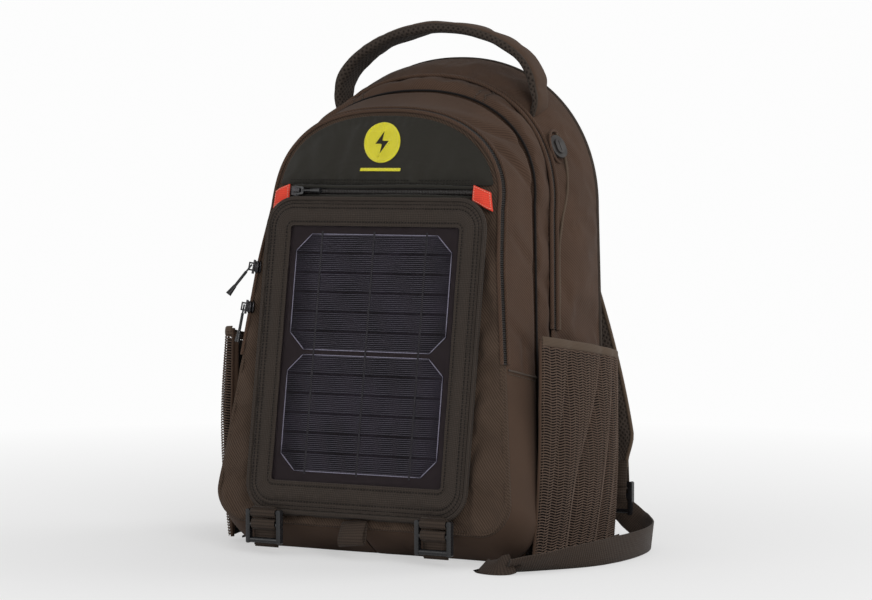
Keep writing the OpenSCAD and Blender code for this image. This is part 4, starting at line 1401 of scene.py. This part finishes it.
def pillow(name, size, centre, thick, replaced):
    """Back pad: a crowned cushion of spacer mesh with a sewn channel round it, simulated from a thinner start."""
    rows = []
    steps = np.concatenate([np.linspace(0, 0.2, 7), np.linspace(0.25, 0.97, 16)])
    for t in steps:
        inset = t * min(size[0], size[1]) / 2
        flat = rounded_rect(max(size[0] - 2 * inset, 2), max(size[1] - 2 * inset, 2), max(size[2] - inset, 1),
                            0, per_side=22)
        rise = thick * (0.55 * smooth(t / 0.16) + 0.35 * smooth((t - 0.2) / 0.3))
        rise = rise - 1.4 * math.exp(-((t - 0.2) / 0.035) ** 2)
        rows.append(np.stack([flat[:, 0] + centre[0], np.full(len(flat), BACK_Y + 3.0 + rise),
                              flat[:, 1] + centre[1]], axis=1))
    narrow = 0 if size[0] < size[1] else 2
    close = rows[-1].copy()
    close[:, narrow] = centre[0] if narrow == 0 else centre[1]
    close[:, 1] = close[:, 1].mean()
    rows.append(close)
    grid = np.array(rows)
    piece = sheet(name, grid, uv=grid[..., [0, 2]], flip=True)
    index = np.arange(grid.shape[0] * grid.shape[1]).reshape(grid.shape[:2])
    channel = int(np.argmin(np.abs(steps - 0.2)))
    settle(piece, np.concatenate([index[0], index[:, 0], index[:, -1], index[channel]]), grow=0.015,
           pressure=0.7, cap=1.6, frames=12)
    thicken(piece, 1.0, levels=1)
    finish_piece(piece, CLOTH["spacer_front"], "bag", "spacer_mesh", *replaced)


def shoulder_strap(side, label):
    """Padded strap: smooth cloth outside, spacer mesh against the wearer, bound edges."""
    line = bezier([(52, 404), (66, 300), (128, 210), (150, 66)], 90)
    share = np.linspace(0, 1, len(line))
    y = STRAP_Y - 15 * (1 - smooth(share / 0.10))
    path = np.stack([line[:, 0] * side, y, line[:, 1]], axis=1)
    half_w = 30 - 9 * share - 10 * smooth((share - 0.93) / 0.07)
    half_t = 4.6 * (0.35 + 0.65 * smooth(share / 0.12)) * (1 - 0.5 * smooth((share - 0.9) / 0.1))
    body = "strap_" + label
    top = (52 * side, STRAP_Y, 398), (52 * side, STRAP_Y, 362)
    hinge = ("bag", body, *top)
    faces = {}
    for face, sign in (("outer", 1), ("inner", -1)):
        t = np.linspace(-1, 1, 13)
        puff = (1 - np.abs(t) ** 2.6) ** 0.6
        section = np.stack([half_w[:, None] * t[None] * (1 if sign > 0 else 0.985),
                            half_t[:, None] * puff[None] * sign], axis=2)
        grid = sweep_grid(path, section, (0, 1, 0))
        faces[face] = grid
        piece = sheet(f"strap_{face}_{label}", grid, flip=sign < 0)
        settle(piece, held(*grid.shape[:2]), grow=0.015, pressure=0.5, cap=1.2, frames=10)
        thicken(piece, 0.9, levels=1)
        material = CLOTH["smooth"] if face == "outer" else CLOTH["spacer"]
        node = (f"shoulder_strap_{label}",) if face == "outer" else ()
        finish_piece(piece, material, hinge, "strap_cloth" if face == "outer" else "spacer_mesh", *node)
    for k in (0, -1):
        edge = rod(f"strap_edge_{label}_{abs(k)}", faces["outer"][:, k], ring(1.9, 6), hint=(0, 1, 0))
        finish_piece(edge, CLOTH["binding"], hinge, "binding")
    tongue(side, label, body)


# ---------- webbing ----------

def ribbon(name, path, across, width=25.0, thickness=1.6):
    """Flat webbing along a path, its width along the across vectors."""
    path = np.asarray(path, float)
    tangent = np.gradient(path, axis=0)
    tangent /= np.linalg.norm(tangent, axis=1)[:, None]
    across = np.broadcast_to(np.asarray(across, float), path.shape)
    across = across - (across * tangent).sum(axis=1)[:, None] * tangent
    across /= np.linalg.norm(across, axis=1)[:, None]
    face = np.cross(across, tangent)
    half, t = width / 2, thickness / 2
    section = [(-half, 0), (-half + 0.5, -t), (-half / 3, -t), (half / 3, -t), (half - 0.5, -t), (half, 0),
               (half - 0.5, t), (half / 3, t), (-half / 3, t), (-half + 0.5, t), (-half, 0)]
    grid = np.array([path + across * a + face * b for a, b in section]).transpose(1, 0, 2)
    rows, cols = grid.shape[:2]
    spread = np.array([s[0] for s in section])
    along = lengths(grid)[:, 0, 1]
    uv = np.stack(np.broadcast_arrays(spread[None, :], along[:, None]), axis=2).reshape(-1, 2)
    points, faces = with_caps(grid.reshape(-1, 3), grid_faces(rows, cols), rows, cols)
    return weld(make(name, points, faces, np.concatenate([uv, uv[[0, -1]]])))


def curve(knots, count=60):
    """Smooth line through knots."""
    knots = np.asarray(knots, float)
    padded = np.concatenate([[2 * knots[0] - knots[1]], knots, [2 * knots[-1] - knots[-2]]])
    line = []
    for p0, p1, p2, p3 in zip(padded, padded[1:], padded[2:], padded[3:]):
        t = np.linspace(0, 1, 16, endpoint=False)[:, None]
        line.append(0.5 * (2 * p1 + (p2 - p0) * t + (2 * p0 - 5 * p1 + 4 * p2 - p3) * t ** 2
                           + (3 * p1 - p0 - 3 * p2 + p3) * t ** 3))
    return even(np.concatenate(line + [knots[-1:]]), count)


BAR_LOOP_R = 3.4


def loop_round(bar, away, length, count=22):
    """Side view line of webbing that comes along away, wraps a bar and goes back. Points are (y, z)."""
    bar, away = np.asarray(bar, float), np.asarray(away, float)
    away /= np.linalg.norm(away)
    cross = np.array([-away[1], away[0]])
    t = np.linspace(math.pi / 2, 3 * math.pi / 2, count)
    wrap = bar + BAR_LOOP_R * (np.outer(np.cos(t), away) + np.outer(np.sin(t), cross))
    start = bar + away * length + cross * 1.2
    end = bar + away * length - cross * 1.2
    return np.concatenate([[start], wrap, [end]])


def in_plane(line, x):
    """World points of (y, z) pairs at this x."""
    line = np.asarray(line, float)
    return np.stack([np.full(len(line), x), line[:, 0], line[:, 1]], axis=1)


def build_bottom_webbing():
    """Loops that hold the foot's ladder locks, the loop between them, and a keeper over each lock."""
    bar_y, bar_z = -109.5, 37.0
    parts = []
    for side in (1, -1):
        line = loop_round((bar_y, bar_z), (1.0, -0.22), 15)
        parts.append(ribbon(f"loop_{side}", in_plane(even(line, 40), side * 84), (1, 0, 0)))
    droop = curve([(-96.5, 33, 0), (-101, 30, 0), (-107.5, 20, 0), (-106, 13.5, 0), (-101.5, 15, 0),
                   (-98.5, 24, 0), (-96, 31, 0)], 50)
    tilt = np.stack([1.2 * np.sin(np.linspace(0, math.pi, 50)), 0 * droop[:, 0], 0 * droop[:, 0]], axis=1)
    parts.append(ribbon("centre_loop", in_plane(droop[:, :2], 0) + tilt, (1, 0.0, 0.12)))
    finish_piece(merge("bottom_webbing_loops", parts), CLOTH["webbing"], "front_flap", "webbing",
                 "bottom_webbing")
    threads = []
    for side in (1, -1):
        line = [(-107.4, 41.5), (-109.5, 42.0), (-112.0, 41.2)]
        tab = ribbon(f"keeper_{side}", in_plane(even(line, 8), side * 84), (1, 0, 0), width=23, thickness=1.2)
        threads.append(tab)
    finish_piece(merge("bottom_webbing_keepers", threads), CLOTH["webbing"], "front_flap", "webbing")


def tongue(side, label, body):
    """Webbing from the strap's end round the top bar of its ladder lock."""
    line = loop_round((STRAP_Y, 52), (0.0, 1.0), 22)
    piece = ribbon(f"strap_tongue_{label}", in_plane(even(line, 40), side * 150), (1, 0, 0))
    finish_piece(piece, CLOTH["webbing"], body, "webbing")


def build_floor_webbing():
    """Slack adjuster webbing: from the ladder lock it stands on edge, loops forward on the ground and returns."""
    run = curve([(152, 116, 34), (172, 112, 20), (200, 84, 13.5), (213, 30, 12.6), (205, -36, 11.5),
                 (180, -86, 8.5), (156, -116, 5.5)], 90)
    share = np.linspace(0, 1, len(run))[:, None]
    lie = smooth((share - 0.55) / 0.45)
    flat_way = np.array([0.75, 0.45, 0.0])
    stand = np.array([0.12, 0.0, 1.0])
    hang = np.array([1.0, 0.0, -0.25])
    turn = smooth(share / 0.22)
    across = hang * (1 - turn) + stand * turn
    across = across * (1 - lie) + (stand * 0.35 + flat_way) * lie
    outer = ribbon("run", run, across, width=24)
    back = curve([(158, -114, 3.0), (140, -78, 3.6), (146, -20, 4.2), (154, 40, 3.2), (156, 90, 6.0)], 60)
    inner = ribbon("return", back, (0.9, 0.1, 0.35), width=22)
    tip = curve([(160, -112, 9), (150, -119, 6), (136, -116, 3.2), (126, -104, 1.6)], 16)
    end = ribbon("tip", tip, (0.2, 0.75, 0.65), width=20)
    rests = [outer, inner, end]
    left = curve([(-152, 112, 34), (-160, 124, 12), (-158, 142, 12.6), (-142, 146, 12.4), (-126, 128, 12.2),
                  (-120, 108, 12)], 50)
    other = ribbon("left_run", left, np.linspace((1, 0, 0), (0.1, 0, 1), 50), width=22)
    rests.append(other)
    piece = merge("floor_webbing", rests)
    rest_on_floor(piece)
    finish_piece(piece, CLOTH["webbing"], "bag", "webbing", "lower_webbing")


def rest_on_floor(piece, gap=0.25):
    """Flattens whatever would reach under the ground."""
    for vertex in piece.data.vertices:
        vertex.co.z = max(vertex.co.z, gap * MM)


CLOTH["spacer_front"] = cloth("spacer_mesh_back", (50, 45, 42), spacer, 5.0, 0.6, depth=1.2)


# ---------- webs across the soft gaps ----------

def low_run(a, top, grow, depth):
    """World line round the foot of an arch, from this height on the left down and up to it on the right."""
    outline = arch(a)
    line = (outline + outward(outline) * grow)[:-1]
    line = np.roll(line, len(line) // 2, axis=0)
    line = line[line[:, 1] < top]
    return on_face(line[:, 0], line[:, 1], depth)


def web(name, first, second, bulge, material, body):
    """Cloth strip between two edges, folded outwards by bulge."""
    centre = (first.mean(axis=0) + second.mean(axis=0)) / 2
    out = first - centre
    out -= (out @ INTO)[:, None] * INTO
    out /= np.linalg.norm(out, axis=1)[:, None]
    t = np.linspace(0, 1, 7)[:, None, None]
    grid = first * (1 - t) + second * t + out * bulge * np.sin(math.pi * t)
    piece = sheet(name, grid)
    thicken(piece, 0.9, offset=0)
    rest_on_floor(piece)
    return finish_piece(piece, material, body, "side_cloth")


def build_webs():
    """Strips that close each compartment below its zip, and the pad's sewn lower edge."""
    web("front_opening_web",
        low_run(FACE_ARCH, FRONT_ZIP_END + 4, -0.6, FLAP_DEPTH + 0.8),
        low_run(FACE_ARCH, FRONT_ZIP_END + 4, 3.0, GUSSET_DEPTH + 0.4), 1.2, CLOTH["front"],
        ("front_section", "front_flap", on_face(0, 0, GUSSET_DEPTH), on_face(0, 0, FLAP_DEPTH + 1.0)))
    web("main_opening_web",
        low_run(MOUTH_ARCH, MAIN_ZIP_END + 4, 0.5, MOUTH_DEPTH - 3.0),
        low_run(MOUTH_ARCH, MAIN_ZIP_END + 4, 0.9, MOUTH_DEPTH + 5.6), 0.8, CLOTH["side"],
        ("bag", "front_section", on_face(0, 0, MOUTH_DEPTH + 5), on_face(0, 0, MOUTH_DEPTH - 2.5)))
    x = np.linspace(-92, 92, 50)
    t = np.linspace(0, 1, 5)[:, None, None]
    pad_edge, flap_edge = on_face(x, -140.0, 5.0), on_face(x, -143.5, FLAP_DEPTH + 0.3)
    seam = sheet("pad_lower_seam", pad_edge * (1 - t) + flap_edge * t)
    thicken(seam, 0.8, offset=0)
    finish_piece(seam, CLOTH["heather"], ("front_flap", "solar_pad", flap_edge.mean(axis=0),
                                          pad_edge.mean(axis=0)),
                 "pad_cloth")


# ---------- inside the compartments ----------

WALL_DEPTH = 63.7
DIVIDER = (252, 290, 20, 152)
DIVIDER_Y = 77.5
SLEEVE_FOOT, SLEEVE_TOP = -42.0, 55.0
SLEEVE_MIDDLE = 51.0
CABLE_R = 1.8


def build_front_wall():
    """Lining between the two compartments, slightly slack, with a hem stitched round it."""
    outline = arch(CREASE_ARCH, 0.8)
    flat, grid = disc(outline, np.array([0, 30.0]), 26, WALL_DEPTH)
    share = np.linspace(0, 1, 26)[:, None]
    grid = grid + INTO * (0.8 * wander(grid, 90, 81) * np.sin(math.pi * share))[..., None]
    wall = sheet("compartment_wall", grid, uv=flat)
    thicken(wall, 1.0, offset=0)
    finish_piece(wall, CLOTH["lining"], "front_section", "lining_cloth", "main_front_wall")
    hem = arch(CREASE_ARCH, -11)
    row = stitches("compartment_wall_hem", on_face(hem[:, 0], hem[:, 1], WALL_DEPTH - 0.8), -INTO, pitch=4.0)
    finish_piece(row, CLOTH["thread"], "front_section", "lining_cloth")


def build_divider():
    """Padded laptop divider: quilted front, plain back, bound edge."""
    outline = rounded_rect(*DIVIDER)
    centre = np.array([0, DIVIDER[3]])
    share = np.linspace(0, 1, 40)[:, None, None]
    flat = outline * (1 - share) + centre * share
    channel = np.abs(np.sin(math.pi * (flat[..., 1] - DIVIDER[3]) / 32)) ** 0.5
    rise = 2.6 * channel * smooth(share[..., 0] / 0.12)
    parts = []
    for y, puff in ((DIVIDER_Y - 0.7, -rise), (DIVIDER_Y + 0.9, 0 * rise)):
        grid = np.stack([flat[..., 0], y + puff, flat[..., 1]], axis=-1)
        face = sheet("face", grid, uv=flat)
        thicken(face, 0.8, offset=0)
        face.data.materials.append(CLOTH["lining"])
        parts.append(face)
    edge = np.stack([outline[:, 0], np.full(len(outline), DIVIDER_Y), outline[:, 1]], axis=1)
    binding = rod("binding", edge, ring(2.0, 8), hint=(0, 1, 0), closed=True)
    binding.data.materials.append(CLOTH["binding"])
    finish_piece(merge("quilted_divider", parts + [binding]), None, "bag", "lining_cloth", "laptop_divider")


def sleeve_surface(around, height, grow=0.0):
    """Points of the power bank's sleeve. around and height run from 0 to 1."""
    turn = 2 * math.pi * np.asarray(around, float)
    c, s = np.cos(turn), np.sin(turn)
    x = (37.4 + grow) * np.sign(c) * np.abs(c) ** 0.35
    depth = SLEEVE_MIDDLE + (8.4 + grow) * np.sign(s) * np.abs(s) ** 0.35
    return on_face(x, SLEEVE_FOOT + (SLEEVE_TOP - SLEEVE_FOOT) * np.asarray(height, float), depth)


def build_sleeve():
    """Knitted sleeve with an elastic mouth, sewn to the compartment wall."""
    net = thread_net("bank_sleeve_net", sleeve_surface, 34, 44, 100, 50, 0.5)
    finish_piece(net, CLOTH["mesh_thread"], "front_section", "pocket_mesh", "power_bank_sleeve")
    a = np.linspace(0, 1, 90)
    rows = [sleeve_surface(a, h, g) for h, g in ((0.94, 0.3), (0.955, 0.9), (0.985, 1.0), (1.0, 0.3))]
    mouth = sheet("bank_sleeve_elastic", np.array(rows))
    thicken(mouth, 1.0, offset=-1, levels=1)
    finish_piece(mouth, CLOTH["binding"], "front_section", "binding")
    x = np.linspace(-37, 37, 20)
    floor = np.array([on_face(x, SLEEVE_FOOT + 0.4 * np.sin(x / 9), d) for d in np.linspace(43, 59.4, 7)])
    foot = sheet("bank_sleeve_floor", floor)
    thicken(foot, 1.0, offset=0)
    finish_piece(foot, CLOTH["lining"], "front_section", "pocket_mesh")


def build_cable():
    """Charging cable up from the panel's box, with a ribbed strain relief at each end."""
    knots = np.array([on_face(46, BOX_V + 34, 17), on_face(46, BOX_V + 32, 28), on_face(46, BOX_V + 38, 38.5),
                      on_face(46.6, BOX_V + 70, 40.3), on_face(45.4, BOX_V + 110, 39.8),
                      on_face(46, BOX_V + 150, 40),
                      on_face(46, BOX_V + 170, 40)])
    line = curve(knots, 90)
    cable = rod("cable", line, ring(CABLE_R, 8), hint=(1, 0, 0))
    reliefs = []
    for run in (line[:10], line[-12:]):
        t = np.linspace(0, 1, len(run))[:, None, None]
        fat = CABLE_R + 0.5 + 0.35 * np.abs(np.sin(t * math.pi * 4))
        section = ring(1.0, 8)[None] * fat
        reliefs.append(rod("relief", run, section, hint=(1, 0, 0)))
    piece = merge("charge_cable_cord", [cable] + reliefs)
    finish_piece(piece, moulded("cable_rubber", (26, 26, 27), 0.5), "front_section", "port_rubber",
                 "charge_cable")


def build_interior():
    """What the two compartments hold."""
    build_front_wall()
    build_divider()
    build_sleeve()
    build_cable()


# ---------- threaded webbing ----------

def build_lock_webbing():
    """Webbing tails threaded through the bottom ladder locks."""
    for side, label in ((1, "right"), (-1, "left")):
        knots = [(-106.6, 8.0), (-106.2, 15.0), (-107.4, 21.5), (-111.4, 24.2), (-112.7, 27.4),
                 (-111.2, 30.6),
                 (-108.2, 30.0), (-105.6, 26.5), (-104.8, 18.0), (-105.2, 6.5)]
        line = curve([(y, z, 0) for y, z in knots], 70)[:, :2]
        tail = ribbon(f"lock_webbing_{label}", in_plane(line, side * 84), (1, 0, 0), width=24)
        finish_piece(tail, CLOTH["webbing"], "bottom_lock_" + label, "webbing")


def build_strap_webbing():
    """Webbing from each strap's ladder lock down to the webbing on the ground."""
    for side, label in ((1, "right"), (-1, "left")):
        foot = (116.0, 36.0) if side > 0 else (112.0, 35.0)
        knots = [(foot[0], foot[1] - 2), (114.6, 38.0), (112.4, 43.4), (114.4, 48.9), (118.4, 47.6),
                 (118.8, 40.0),
                 (117.2, 32.0), (116.4, 27.0)]
        line = curve([(y, z, 0) for y, z in knots], 60)[:, :2]
        piece = ribbon(f"adjuster_webbing_{label}", in_plane(line, side * 150), (1, 0, 0), width=24)
        finish_piece(piece, CLOTH["webbing"], "strap_lock_" + label, "webbing")


def build_port_ring():
    """Raised welt round the cable port."""
    low, high = box("cable_port")
    centre = (low + high) / 2
    t = np.radians(np.arange(0, 361, 6))
    across = np.array([0.0, 1.0, 0.0])
    out = np.array([math.cos(math.radians(16)), 0, math.sin(math.radians(16))])
    rise = np.cross(out, across)
    line = centre + 12.6 * np.cos(t)[:, None] * across + 15.0 * np.sin(t)[:, None] * rise - out * 1.4
    ring_seam = rod("port_welt", line, ring(1.3, 6), hint=out, closed=True)
    finish_piece(ring_seam, CLOTH["side"], "bag", "side_cloth")


def build_slider_bodies():
    """Flanges of each zip slider, which hold the coil behind its upper plate."""
    spots = np.array([(0.0, -2.6), (0.0, 2.6), (1.6, -2.6), (1.6, 2.6), (3.0, 0.0)])
    for where in ("front_slider_upper", "front_slider_lower", "main_slider_upper", "main_slider_lower"):
        low, high = box(where)
        centre = (low + high) / 2
        places = [(high[0] + 0.4 + inward, centre[1] + across, centre[2]) for inward, across in spots]
        flanges = pills(f"{where}_flanges", np.array(places), UP, ACROSS, 10.5, 1.3, flat=0.8)
        finish_piece(flanges, CAD_FINISH["metal"][0], where, "zip_metal")


# ---------- stage ----------

def build_stage():
    """Pale floor, white backdrop and soft lights; the camera at the photographed view is set by build_camera."""
    floor_half = 40.0
    corners = [(-floor_half, -floor_half, 0), (floor_half, -floor_half, 0), (floor_half, floor_half, 0),
               (-floor_half, floor_half, 0)]
    floor = make("floor", np.array(corners) / MM, [(0, 1, 2, 3)])
    floor.data.materials.append(floor_paint())
    world = bpy.data.worlds.new("studio")
    world.use_nodes = True
    tree = world.node_tree
    tree.nodes["Background"].inputs[0].default_value = (1, 1, 1, 1)
    rays = tree.nodes.new("ShaderNodeLightPath")
    level = tree.nodes.new("ShaderNodeMath")
    level.operation = "MULTIPLY_ADD"
    level.inputs[1].default_value = BACKDROP - AMBIENT
    level.inputs[2].default_value = AMBIENT
    tree.links.new(rays.outputs["Is Camera Ray"], level.inputs[0])
    tree.links.new(level.outputs[0], tree.nodes["Background"].inputs[1])
    bpy.context.scene.world = world
    lamp("key", (2.2, -2.0, 1.5), 1.6, 30)
    lamp("fill", (-1.9, -2.2, 1.0), 2.0, 12)
    lamp("rim", (1.6, 1.6, 1.7), 1.5, 16)
    bpy.context.scene.view_settings.view_transform = "Standard"


BACKDROP = 0.98
AMBIENT = 0.42


def floor_paint():
    """Pale paint that fades with distance into the backdrop's brightness, so no horizon shows."""
    n = Nodes("floor_paint")
    place = n.add("TexCoord").outputs["Object"]
    far = n.add("VectorMath", {0: place}, operation="LENGTH").outputs["Value"]
    n.finish(srgb(243, 243, 243), 0.8)
    glow = n.add("Emission", {"Color": (1, 1, 1, 1), "Strength": BACKDROP})
    seen = n.add("LightPath").outputs["Is Camera Ray"]
    share = n.math("MULTIPLY", n.remap(far, 0.2, 1.2, 0.5, 1.0), seen)
    both = n.add("MixShader", {0: share, 1: n.shader.outputs[0], 2: glow.outputs[0]})
    n.tree.links.new(both.outputs[0], n.tree.nodes["Material Output"].inputs[0])
    return n.material


TARGET = np.array([0, 0, 230.0])


def lamp(name, place, size, power):
    data = bpy.data.lights.new(name, "AREA")
    data.shape = "DISK"
    data.size = size
    data.energy = power
    light = bpy.data.objects.new(name, data)
    bpy.context.scene.collection.objects.link(light)
    light.location = place
    way = Vector(TARGET * MM) - Vector(place)
    light.rotation_euler = way.to_track_quat("-Z", "Y").to_euler()


def build_camera():
    azimuth, elevation = math.radians(28), math.radians(3)
    data = bpy.data.cameras.new("camera")
    data.lens = 120.3
    data.sensor_width = 36
    data.clip_end = 50
    camera = bpy.data.objects.new("camera", data)
    bpy.context.scene.collection.objects.link(camera)
    camera.location = (1.2385, -2.2768, 0.3559)
    look = Vector((-math.sin(azimuth) * math.cos(elevation), math.cos(azimuth) * math.cos(elevation),
                   -math.sin(elevation)))
    camera.rotation_euler = look.to_track_quat("-Z", "Y").to_euler()
    bpy.context.scene.camera = camera


build_shells()
build_pad()
build_cells()
dress_cad()
build_webs()
build_interior()
build_zips()
build_pocket_zip()
build_logo_pocket()
build_tabs()
build_pockets()
build_handle()
build_back()
build_bottom_webbing()
build_floor_webbing()
build_lock_webbing()
build_strap_webbing()
build_port_ring()
build_slider_bodies()
build_stage()
build_camera()
